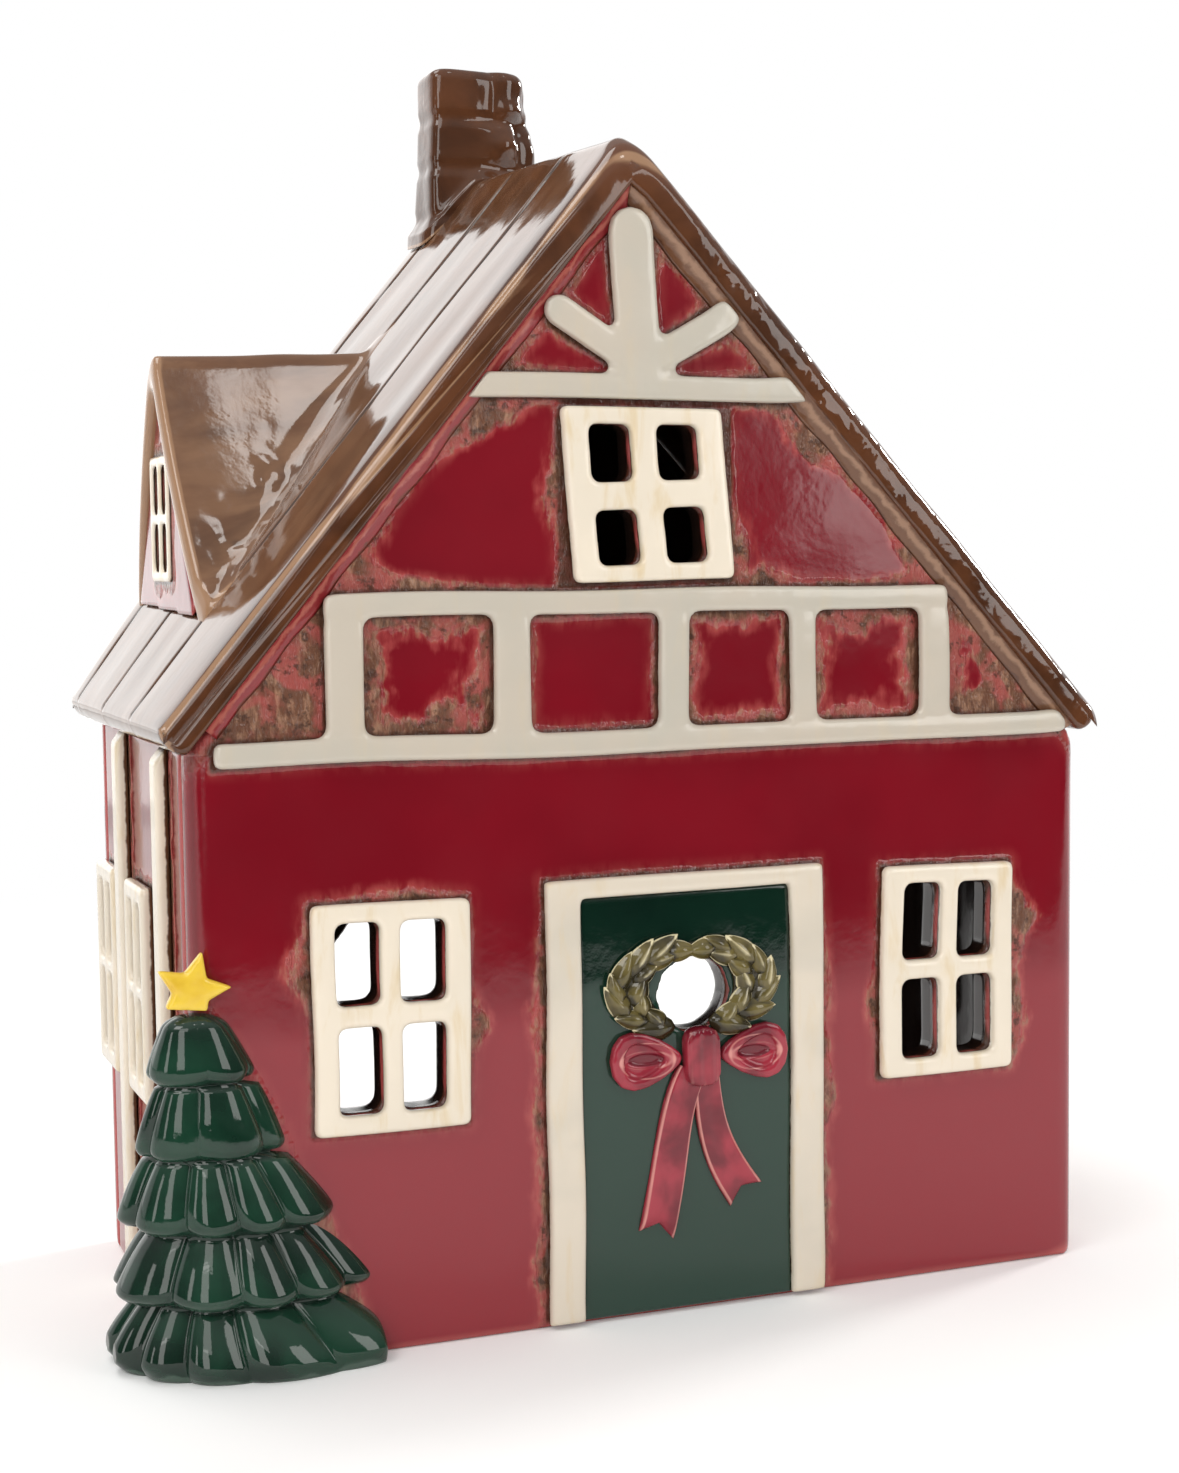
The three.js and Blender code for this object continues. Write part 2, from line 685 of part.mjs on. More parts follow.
// Upright joints of a course, from its middle: they move by half a brick from one course to the next.
function jointOffsets(row, half) {
  const start = -Math.floor(half / brickLength) * brickLength - (row % 2) * (brickLength / 2);
  const offsets = [];
  for (let offset = start; offset <= half; offset += brickLength) {
    if (Math.abs(offset) < half - 2 * mortarWidth) offsets.push(offset);
  }
  return offsets;
}

// Bricks stand proud of a drawn-in core: each course is one slice, scored across by its upright joints.
function addChimney() {
  const core = chimneySlice(chimneyFoot, chimneyTop - mortarDepth, mortarDepth);
  const courses = [];
  for (let row = 0, high = chimneyTop; high > chimneyFoot + courseHeight; row++, high -= courseHeight) {
    const low = high - courseHeight + mortarWidth;
    const brow = high - brickSoftness;
    const course = joined([chimneySlice(low, brow), chimneySlice(brow, high, 0, brickSoftness)]);
    const joint = mortarWidth / 2;
    const across = jointOffsets(row, chimneyTopWidth / 2).map((offset) =>
      block([chimneyX + offset - joint, -far, low - seam], [chimneyX + offset + joint, far, high + seam]),
    );
    const along = jointOffsets(row + 1, chimneyDepth / 2).map((offset) =>
      block([-far, chimneyY + offset - joint, low - seam], [far, chimneyY + offset + joint, high + seam]),
    );
    courses.push(cut(course, ...across, ...along));
  }
  const above = brickSeat * mortarDepth;
  const mortarLine = roofBlock((x, y) => roofTop(x, y) + seat + above * slopeAt(x).steepness, -2 * far);
  const bricks = cut(joined(courses), mortarLine);
  add("chimney", cut(joined([core, bricks]), flueBlock(), roofBulk), clay.brown);
}

function addWindows() {
  for (const [name, size] of Object.entries(windows)) {
    add(name, windowFrame(size, "front", -frontY), clay.cream);
  }
}

function addDoor() {
  const half = doorFrameWidth / 2;
  const leafHalf = half - doorFrameSide;
  const leafTop = doorFrameHeight - doorFrameTop;
  const frame = polygon([
    [doorAxis - half, trimLift],
    [doorAxis - leafHalf, trimLift],
    [doorAxis - leafHalf, leafTop],
    [doorAxis + leafHalf, leafTop],
    [doorAxis + leafHalf, trimLift],
    [doorAxis + half, trimLift],
    [doorAxis + half, doorFrameHeight],
    [doorAxis - half, doorFrameHeight],
  ]);
  add("door_frame", sprig(frame, "front", -frontY, -frontY + trim), clay.cream);
  const leaf = polygon([
    [doorAxis - leafHalf, trimLift],
    [doorAxis + leafHalf, trimLift],
    [doorAxis + leafHalf, leafTop],
    [doorAxis - leafHalf, leafTop],
  ]);
  leaf.holes = [peepholeOutline(THREE.Path)];
  add("door_leaf", slab(leaf, "front", -frontY, -frontY + leafThickness), clay.green);
}

// One pointed leaf along +X, domed to the front, its middle at the origin.
function leafBody() {
  const steps = 4;
  const profile = spread(0, 1, steps).map((t) => {
    const swell = t % 1 ? Math.sin(Math.PI * t ** 0.8) : 0;
    return new THREE.Vector2((leafWidth / 2) * swell, leafLength * (t - 0.5));
  });
  const geometry = new THREE.LatheGeometry(profile, 6);
  geometry.rotateZ(-Math.PI / 2);
  return geometry.scale(1, 1, (2 * leafDepth) / leafWidth);
}

// An oval band with two rows of leaves running round it, laid on the door about the peephole.
function addWreath() {
  const reach = leafWidth / 2 + (leafLength / 2) * Math.sin(THREE.MathUtils.degToRad(leafSplay.outer));
  const halfX = wreathWidth / 2 - reach;
  const halfZ = wreathHeight / 2 - reach;
  const at = (angle, out) => [
    doorAxis + (halfX + out) * Math.cos(angle),
    wreathHeightOnDoor + (halfZ + out) * Math.sin(angle),
  ];
  const floor = -frontY + leafThickness;
  const round = spread(0, 2 * Math.PI, 28).slice(1);
  const oval = (out) => round.map((angle) => new THREE.Vector2(...at(angle, out)));
  const band = new THREE.Shape(oval(wreathRope / 2));
  band.holes = [new THREE.Path(oval(-wreathRope / 2))];
  const pieces = [sprig(band, "front", floor, floor + leafDepth)];
  for (const [row, out] of Object.entries(leafRows)) {
    const splay = THREE.MathUtils.degToRad(leafSplay[row]);
    for (const angle of spread(0, 2 * Math.PI, wreathLeaves).slice(1)) {
      const [x, z] = at(angle, out);
      const run = Math.atan2(halfZ * Math.cos(angle), -halfX * Math.sin(angle));
      const leaf = leafBody().rotateZ(run - splay);
      leaf.translate(x, z, floor + leafDepth);
      pieces.push(solid(leaf.applyMatrix4(facing.front)));
    }
  }
  const front = block([-far, -far, -far], [far, -floor, far]);
  const hole = slab(peepholeOutline(THREE.Shape), "front", 0, far);
  const knot = slab(bowKnotShape(seam), "front", 0, far);
  const loops = [-1, 1].map((turn) => slab(bowLoop(turn, -seam), "front", 0, far));
  add("wreath", cut(joined(pieces).intersect(front), hole, knot, ...loops), clay.olive);
}

const bowKnotShape = (grow = 0) =>
  rounded(
    bowX - knotWidth / 2 - grow,
    bowCentre - knotHeight / 2 - grow,
    bowX + knotWidth / 2 + grow,
    bowCentre + knotHeight / 2 + grow,
    knotWidth / 3,
  );

// The outline of a bow loop, narrow at the knot and round at its far end. Its hollow is smaller.
function bowLoop(turn, rim = 0) {
  const start = bowX + turn * (knotWidth / 2 + seam + rim * 1.6);
  const length = bowLoopWidth - rim * 2.8;
  const half = bowLoopHeight / 2 - rim;
  const points = spread(0, 2 * Math.PI, 16).slice(1).map((angle) => {
    const reach = (1 - Math.cos(angle)) / 2;
    const swell = half * Math.sin(angle) * (bowLoopWaist + bowLoopSwell * reach);
    return new THREE.Vector2(start + turn * length * reach, bowCentre + swell);
  });
  return new THREE.Shape(points);
}

function addBow() {
  const floor = -frontY + leafThickness;
  for (const [name, turn] of [["bow_loop_left", -1], ["bow_loop_right", 1]]) {
    const plate = sprig(bowLoop(turn), "front", floor, floor + bowThickness, trimRounding / 2);
    const hollow = slab(bowLoop(turn, bowRim), "front", floor + bowThickness / 2, far);
    add(name, cut(plate, hollow), clay.ribbon);
  }
  add("bow_knot", sprig(bowKnotShape(), "front", floor, floor + bowThickness * 1.5), clay.ribbon);
  const top = bowCentre - knotHeight / 2 - seam;
  for (const [name, { start, bend, tip }] of Object.entries(tails)) {
    const [from, by, to] = [[start, 0], bend, tip].map(([x, z]) => new THREE.Vector2(bowX + x, top + z));
    const spine = new THREE.QuadraticBezierCurve(from, by, to);
    add(name, sprig(ribbon(spine), "front", floor, floor + bowThickness, trimRounding / 2), clay.ribbon);
  }
}

// A ribbon of even width along a curve, with a swallowtail end.
function ribbon(spine) {
  const edge = (t, turn) => {
    const along = spine.getTangent(t);
    const width = (ribbonWidth / 2) * THREE.MathUtils.lerp(ribbonStart, 1, t);
    const p = spine.getPoint(t);
    return new THREE.Vector2(p.x - turn * along.y * width, p.y + turn * along.x * width);
  };
  const steps = spread(0, 1, 5);
  const end = spine.getPoint(1).addScaledVector(spine.getTangent(1), -tailNotch);
  const outward = steps.map((t) => edge(t, 1));
  const homeward = steps.reverse().map((t) => edge(t, -1));
  return new THREE.Shape([...outward, end, ...homeward]);
}

// The lattice under the gable: two beams with five posts between them.
function addLattice() {
  const lowerTop = wallHeight + beamHeight;
  const upperBottom = upperBeamTop - beamHeight;
  const lefts = [latticeLeft];
  latticeWidths.forEach((width, i) => lefts.push(lefts[i] + latticePosts[i] + width));
  const right = lefts[lefts.length - 1] + latticePosts[latticePosts.length - 1];
  const bar = (x0, z0, x1, z1) => {
    const outline = rounded(x0, z0, x1, z1, trimCorner);
    return cut(sprig(outline, "front", -frontY, -frontY + trim), ceiling);
  };
  add("lower_beam", bar(leftX + cornerRadius, wallHeight, rightX - cornerRadius, lowerTop), clay.cream);
  add("upper_beam", bar(latticeLeft, upperBottom, right, upperBeamTop), clay.cream);
  lefts.forEach((left, i) => {
    add("lattice_post_" + (i + 1), bar(left, lowerTop, left + latticePosts[i], upperBottom), clay.cream);
  });
}

// A strip between two points with a rounded far end.
function strip(from, to, width) {
  const along = Math.atan2(to[1] - from[1], to[0] - from[0]);
  const at = (middle, turn) => {
    const angle = along + THREE.MathUtils.degToRad(turn);
    return [middle[0] + (width / 2) * Math.cos(angle), middle[1] + (width / 2) * Math.sin(angle)];
  };
  return polygon([at(from, 90), at(from, -90), ...spread(-90, 90, 6).map((turn) => at(to, turn))]);
}

// The sunburst in the peak: a bar, a king post and two slanting rays, pressed as one piece.
function addSunburst() {
  const top = sunBarBottom + sunBarHeight;
  const hub = [sunHubX, top + sunHubRise];
  const rays = Object.entries(sunRays).map(([side, { share, angle }]) => {
    const run = share * (sunPostTop - sunBarBottom) - sunRayWidth / 2;
    const rise = THREE.MathUtils.degToRad(angle);
    const tip = [hub[0] + sides[side] * run * Math.cos(rise), hub[1] + run * Math.sin(rise)];
    return strip(hub, tip, sunRayWidth);
  });
  const crown = [sunHubX + sunLean, sunPostTop - sunPostWidth / 2];
  const post = strip([sunHubX, sunBarBottom], crown, sunPostWidth);
  const bar = polygon([[leftX, sunBarBottom], [rightX, sunBarBottom], [rightX, top], [leftX, top]]);
  const pressed = [bar, post, ...rays].map((shape) => sprig(shape, "front", -frontY, -frontY + trim));
  const above = block([-far, -far, sunBarBottom], [far, far, far]);
  add("sunburst", cut(joined(pressed).intersect(above), ceiling), clay.cream);
}

// One ring round the tree. `share` is its place up the tree and `width` its share of the base width.
function treeRing(tier, share, width, z, scallop, sag) {
  const cx = THREE.MathUtils.lerp(treeBase.x, treeTip.x, share);
  const cy = THREE.MathUtils.lerp(treeBase.y, treeTip.y, share);
  return spread(0, 2 * Math.PI, 72).slice(1).map((angle) => {
    const wave = Math.abs(Math.sin(((treeLobes - tier) * angle) / 2 + tier * treeTwist));
    const lobe = wave ** treeLobeFullness;
    const r = width * (1 - treeCrease * scallop * (1 - lobe));
    const [x, y] = [r * treeBaseRadiusX * Math.cos(angle), r * treeBaseRadiusY * Math.sin(angle)];
    return new THREE.Vector3(cx + x, cy + y, z - treeRimSag * sag * lobe);
  });
}

// Stacked skirts: each flares to a rounded scalloped rim and tucks in under itself to the next.
// `up` is a share of the tier's height and `narrow` how far it has drawn in from rim to waist.
function treeTier(tier, tierHeight) {
  const low = tier * tierHeight;
  const [lowShare, highShare] = [low / treeHeight, (low + tierHeight) / treeHeight];
  const rim = 1 - lowShare * treeTaper;
  const topmost = tier === treeTiers - 1;
  const waist = topmost ? treeTopWidth : (1 - highShare * treeTaper) * treeWaist + (1 - treeWaist) / 3;
  const skirt = [
    { up: 0, narrow: tier ? 0.5 : 0.08, scallop: 0.6, sag: 0 },
    { up: 0.16, narrow: 0.03, scallop: 1, sag: tier ? 1 : 0 },
    { up: 0.26, narrow: 0, scallop: 1, sag: tier ? 1 : 0.3 },
    { up: 0.42, narrow: 0.14, scallop: 1.2, sag: tier ? 0.8 : 0.3 },
    { up: 0.72, narrow: 0.56, scallop: 1.4, sag: 0.3 },
    { up: 0.94, narrow: 1, scallop: 0.8, sag: 0 },
  ];
  return skirt.map(({ up, narrow, scallop, sag }) => {
    const share = THREE.MathUtils.lerp(lowShare, highShare, up);
    const width = THREE.MathUtils.lerp(rim, waist, narrow);
    return treeRing(tier, share, width, low + tierHeight * up, scallop, sag);
  });
}

// Only the lowest tier reaches past the post on the side wall.
function addTree() {
  const tierHeight = treeHeight / treeTiers;
  const rings = spread(0, treeTiers - 1, treeTiers - 1).flatMap((tier) => treeTier(tier, tierHeight));
  const house = block([leftX - seam, frontY - seam, -far], [far, far, far]);
  const half = sidePostWidth / 2 + seam;
  const [postFront, postBack] = [sidePostFrontY - half, sidePostFrontY + half];
  const post = block([leftX - trim - 2 * seam, postFront, -far], [far, postBack, far]);
  const behindPost = block([-far, sidePostFrontY, tierHeight * 0.8], [far, far, far]);
  add("fir_tree", cut(loft(rings), house, post, behindPost), clay.fir);
}

// A five-pointed star on the tip of the tree, standing on it.
function addStar() {
  const middle = treeHeight + starRadius * starSeat;
  const points = spread(1, 10, 9).map((i) => {
    const r = i % 2 ? starRadius * starInnerShare : starRadius;
    const angle = THREE.MathUtils.degToRad(90 + 36 * i + starTurn);
    return [treeTip.x + r * Math.cos(angle), middle + r * Math.sin(angle)];
  });
  const from = -frontY + seam;
  const tip = block([-far, -far, -far], [far, far, treeHeight + seam]);
  add("tree_star", cut(sprig(polygon(points), "front", from, from + starThickness), tip), clay.yellow);
}

addFloor();
addEndWalls();
addSideWalls();
addRoof();
addDormer();
addChimney();
addWindows();
addDoor();
addWreath();
addBow();
addLattice();
addSunburst();
addTree();
addStar();

export default group;
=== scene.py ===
# A glazed ceramic house for a tealight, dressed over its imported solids. Metres, Z up, the door towards -Y.
import math
import bpy
import bmesh
import numpy as np
from mathutils import Matrix, Vector


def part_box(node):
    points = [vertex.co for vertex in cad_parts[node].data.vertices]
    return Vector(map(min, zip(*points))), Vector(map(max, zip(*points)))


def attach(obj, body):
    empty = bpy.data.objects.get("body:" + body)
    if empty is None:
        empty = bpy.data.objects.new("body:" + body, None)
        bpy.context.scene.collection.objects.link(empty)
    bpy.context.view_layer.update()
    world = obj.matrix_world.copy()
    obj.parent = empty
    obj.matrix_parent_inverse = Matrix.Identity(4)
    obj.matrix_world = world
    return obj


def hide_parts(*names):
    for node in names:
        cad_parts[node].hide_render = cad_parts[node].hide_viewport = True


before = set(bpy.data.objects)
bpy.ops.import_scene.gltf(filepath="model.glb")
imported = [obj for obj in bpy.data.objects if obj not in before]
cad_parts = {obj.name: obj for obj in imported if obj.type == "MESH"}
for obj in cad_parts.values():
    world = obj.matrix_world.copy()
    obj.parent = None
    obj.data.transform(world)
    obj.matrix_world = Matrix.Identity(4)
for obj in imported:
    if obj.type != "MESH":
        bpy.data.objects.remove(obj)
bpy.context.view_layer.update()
mm = 0.001
print("frame loaded with", len(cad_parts), "solids")


def linked(name, data):
    piece = bpy.data.objects.new(name, data)
    bpy.context.scene.collection.objects.link(piece)
    return piece


# The camera stands where the photo's corners, eaves and windows put it.
camera = {"place": (-0.1371, -0.3551, 0.1163), "yaw": 21.478, "pitch": 4.499, "roll": -0.705, "lens": 56.31}


def addCamera():
    # Turned about Z by yaw, tipped down by pitch, then rolled about its own line of sight.
    yaw, pitch, roll = (math.radians(camera[k]) for k in ("yaw", "pitch", "roll"))
    level = Vector((math.cos(yaw), -math.sin(yaw), 0))
    ahead = Vector((math.sin(yaw), math.cos(yaw), 0))
    forward = ahead * math.cos(pitch) - Vector((0, 0, math.sin(pitch)))
    over = Vector((0, 0, math.cos(pitch))) + ahead * math.sin(pitch)
    right = level * math.cos(roll) + over * math.sin(roll)
    up = over * math.cos(roll) - level * math.sin(roll)
    data = bpy.data.cameras.new("photoCamera")
    data.sensor_width = 36
    data.lens = camera["lens"]
    data.clip_start = 0.01
    eye = linked("photoCamera", data)
    turn = Matrix((right, up, -forward)).transposed().to_4x4()
    eye.matrix_world = Matrix.Translation(camera["place"]) @ turn
    bpy.context.scene.camera = eye


addCamera()
print("camera placed")

# The house in millimetres, taken from its solids where a box gives it.
house = {
    "leftX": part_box("left_wall")[0].x / mm,
    "rightX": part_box("right_wall")[1].x / mm,
    "frontY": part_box("front_wall")[0].y / mm,
    "backY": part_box("back_wall")[1].y / mm,
    "ridgeX": -4.8,
    "ridgeZ": 179.2,
    "ridgeRise": 4.0,
    "eaveLeft": (-77.55, 91.7),
    "eaveRight": (77.35, 89.8),
    "roofThick": 5.5,
    "vergeFront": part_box("roof_slab_left")[0].y / mm,
    "vergeBack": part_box("roof_slab_left")[1].y / mm,
    "softRidge": 1.4,
    "softVerge": 3.0,
}


def smooth(low, high, value):
    # A step from 0 at low to 1 at high, level at both ends.
    t = np.clip((value - low) / (high - low), 0, 1)
    return t * t * (3 - 2 * t)


def ripple(points, length, seed, strands=14):
    # Sine waves of about one length in random directions, summed and scaled to about -1..1.
    rng = np.random.default_rng(seed)
    heading = rng.normal(size=(strands, 3))
    heading /= np.linalg.norm(heading, axis=1)[:, None]
    pace = 2 * math.pi / (length * rng.uniform(0.7, 1.5, strands))
    phase = rng.uniform(0, 2 * math.pi, strands)
    return np.sin(points @ (heading * pace[:, None]).T + phase).sum(-1) / math.sqrt(strands)


def softMax(a, b, reach):
    # The larger of two heights, with a fillet where they differ by less than reach.
    near = np.maximum(reach - np.abs(a - b), 0) / reach
    return np.maximum(a, b) + near * near * reach / 4


def slopeAt(x):
    # Eave and steepness of the slope on which x lies.
    left = x < house["ridgeX"]
    eave = np.where(left, house["eaveLeft"][0], house["eaveRight"][0])
    tip = np.where(left, house["eaveLeft"][1], house["eaveRight"][1])
    return eave, (house["ridgeZ"] - tip) / np.abs(house["ridgeX"] - eave)


def slopeTop(x, y, soft=None):
    # The roof's outer height: straight slopes, higher at the back, with a rounded ridge.
    soft = house["softRidge"] if soft is None else soft
    eave, steep = slopeAt(x)
    away = np.abs(x - house["ridgeX"])
    share = np.clip(np.abs(x - eave) / np.abs(house["ridgeX"] - eave), 0, 1)
    along = (y - house["vergeFront"]) / (house["vergeBack"] - house["vergeFront"])
    lift = house["ridgeRise"] * along * (1 - (1 - share) ** 6)
    reach = 2 * soft / steep
    rounded = steep * (reach ** 2 + away ** 2) / (2 * reach)
    return house["ridgeZ"] + lift - np.where(away < reach, rounded, steep * away)


def slopeUnder(x, y):
    # The roof's inner height: the sharp outer surface less the slab's thickness.
    steep = slopeAt(x)[1]
    return slopeTop(x, y, 0.01) - house["roofThick"] * np.hypot(1, steep)


# Meshes: points in millimetres go in, metres are stored.
def pointsOf(mesh, what="co"):
    out = np.empty(len(mesh.vertices) * 3)
    mesh.vertices.foreach_get(what, out)
    return out.reshape(-1, 3)


def putPoints(mesh, points):
    mesh.vertices.foreach_set("co", np.ascontiguousarray(points * mm).ravel())
    mesh.update()


def edgesOf(mesh):
    out = np.empty(len(mesh.edges) * 2, np.int64)
    mesh.edges.foreach_get("vertices", out)
    return out.reshape(-1, 2)


def neighbourMean(values, edges):
    # Each point's value replaced by the mean over its edges' far ends.
    total = np.zeros_like(values)
    count = np.zeros(len(values))
    for a, b in ((0, 1), (1, 0)):
        np.add.at(total, edges[:, a], values[edges[:, b]])
        np.add.at(count, edges[:, a], 1)
    count = np.maximum(count, 1)
    return total / (count[:, None] if values.ndim == 2 else count)


def mark(piece, **values):
    # Each value goes into a point attribute of its name; one number stands for all points.
    for name, value in values.items():
        layer = piece.data.attributes.get(name) or piece.data.attributes.new(name, "FLOAT", "POINT")
        layer.data.foreach_set("value", np.array(np.broadcast_to(value, len(layer.data)), np.float32))


def markCrest(piece, reach):
    # How far a point stands above the mean of its neighbours, spread over a few edges: edges above 0,
    # creases below.
    points, edges = pointsOf(piece.data) / mm, edgesOf(piece.data)
    base = points
    for _ in range(reach):
        base = neighbourMean(base, edges)
    crest = ((points - base) * pointsOf(piece.data, "normal")).sum(1)
    for _ in range(2):
        crest = neighbourMean(crest, edges)
    mark(piece, crest=crest)


def remeshed(mesh, voxel):
    carrier = linked("carrier", mesh)
    step = carrier.modifiers.new("remesh", "REMESH")
    step.mode = "VOXEL"
    step.voxel_size = voxel * mm
    graph = bpy.context.evaluated_depsgraph_get()
    made = bpy.data.meshes.new_from_object(carrier.evaluated_get(graph))
    bpy.data.objects.remove(carrier)
    return made


def softened(name, nodes, voxel, rounds, web=0.0):
    # A fired copy of some solids: doubles merged, made of even small faces, grown and shrunk by web so that
    # inner corners fill with glaze, and each point moved to the middle of its neighbours for some rounds.
    body = bmesh.new()
    for node in nodes:
        body.from_mesh(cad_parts[node].data)
    bmesh.ops.remove_doubles(body, verts=body.verts, dist=1e-6)
    mesh = bpy.data.meshes.new(name)
    body.to_mesh(mesh)
    body.free()
    mesh = remeshed(mesh, voxel)
    if web:
        putPoints(mesh, pointsOf(mesh) / mm + pointsOf(mesh, "normal") * web)
        mesh = remeshed(mesh, voxel)
        putPoints(mesh, pointsOf(mesh) / mm - pointsOf(mesh, "normal") * web)
    points, edges = pointsOf(mesh) / mm, edgesOf(mesh)
    for _ in range(rounds):
        points = points + 0.6 * (neighbourMean(points, edges) - points)
    putPoints(mesh, points)
    mesh.shade_smooth()
    mesh.name = name
    piece = linked(name, mesh)
    markCrest(piece, 4)
    return piece


def dress(piece, glaze, *nodes):
    piece.data.materials.clear()
    piece.data.materials.append(glazes[glaze])
    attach(piece, "root")
    if nodes:
        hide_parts(*nodes)


# Node building: the helpers add to the tree on the bench and give back the socket that carries their result.
bench = {}
white = (1, 1, 1, 1)


def addNode(kind, settings=(), **inputs):
    # Inputs go by name, with _ for a space, or by place, as at0; a socket is linked, a value is set.
    node = bench["tree"].nodes.new(kind)
    for key, value in dict(settings).items():
        setattr(node, key, value)
    for key, value in inputs.items():
        socket = node.inputs[int(key[2:])] if key.startswith("at") else node.inputs[key.replace("_", " ")]
        if isinstance(value, bpy.types.NodeSocket):
            bench["tree"].links.new(value, socket)
        else:
            socket.default_value = value
    return node


def place():
    return addNode("ShaderNodeTexCoord").outputs["Object"]


def attribute(name):
    return addNode("ShaderNodeAttribute", {"attribute_name": name}).outputs["Fac"]


def grain(where, size, detail=4.0, rough=0.55, warp=0.0, shift=0.0):
    # Noise whose features are about `size` millimetres across.
    spot = addNode("ShaderNodeVectorMath", {"operation": "ADD"}, at0=where, at1=(shift * mm, 0, shift * mm))
    noise = addNode(
        "ShaderNodeTexNoise", Vector=spot.outputs[0], Scale=1 / (size * mm), Detail=detail,
        Roughness=rough, Distortion=warp,
    )
    return noise.outputs["Fac"]


def span(value, low, high, start=0.0, end=1.0):
    # A soft step of a value from start at low to end at high.
    node = addNode(
        "ShaderNodeMapRange", {"interpolation_type": "SMOOTHSTEP"}, at0=value, at1=low, at2=high,
        at3=start, at4=end,
    )
    return node.outputs[0]


def calc(operation, a, b):
    return addNode("ShaderNodeMath", {"operation": operation}, at0=a, at1=b).outputs[0]


def times(a, b):
    return calc("MULTIPLY", a, b)


def plus(a, b):
    return calc("ADD", a, b)


def minus(a, b):
    return calc("SUBTRACT", a, b)


def stretched(where, scale):
    # The place with its axes scaled: a pattern is drawn out along an axis whose scale is below 1.
    return addNode("ShaderNodeVectorMath", {"operation": "MULTIPLY"}, at0=where, at1=scale).outputs[0]


def blend(share, a, b):
    colours = [c if isinstance(c, bpy.types.NodeSocket) else (*c, 1) for c in (a, b)]
    node = addNode("ShaderNodeMix", {"data_type": "RGBA"}, at0=share, at6=colours[0], at7=colours[1])
    return node.outputs[2]


def axis(where, index):
    return addNode("ShaderNodeSeparateXYZ", Vector=where).outputs[index]


def finishGlaze(colour, roughness, bumps, ior=1.55):
    # One glossy coat: colour and roughness from their sockets, relief as (height socket, millimetres) pairs.
    normal = {}
    for height, depth in bumps:
        bump = addNode("ShaderNodeBump", Height=height, Distance=depth * mm, Strength=1.0, **normal)
        normal = {"Normal": bump.outputs[0]}
    shader = addNode("ShaderNodeBsdfPrincipled", IOR=ior, Base_Color=colour, Roughness=roughness, **normal)
    addNode("ShaderNodeOutputMaterial", Surface=shader.outputs[0])


def layOut(owner):
    # Puts the node tree of a material or world on the bench, empty.
    owner.use_nodes = True
    bench["tree"] = owner.node_tree
    bench["tree"].nodes.clear()


def newGlaze(name):
    material = bpy.data.materials.new(name)
    layOut(material)
    return material


redGlaze = {
    "red": (0.205, 0.006, 0.014),
    "deep": (0.175, 0.005, 0.012),
    # The paler colour is for the wall's foot: a painted reflection of the white table in front.
    "milk": (0.255, 0.018, 0.027),
    "thin": (0.42, 0.075, 0.070),
    # The dark crust colour also draws the dark line along the trims, partly painted contact shade.
    "darkCrustAndShade": (0.055, 0.021, 0.011),
    "crustBrown": (0.140, 0.056, 0.030),
    "crustTan": (0.36, 0.19, 0.115),
    # The inside colour is painted shade.
    "inside": (0.022, 0.012, 0.009),
}


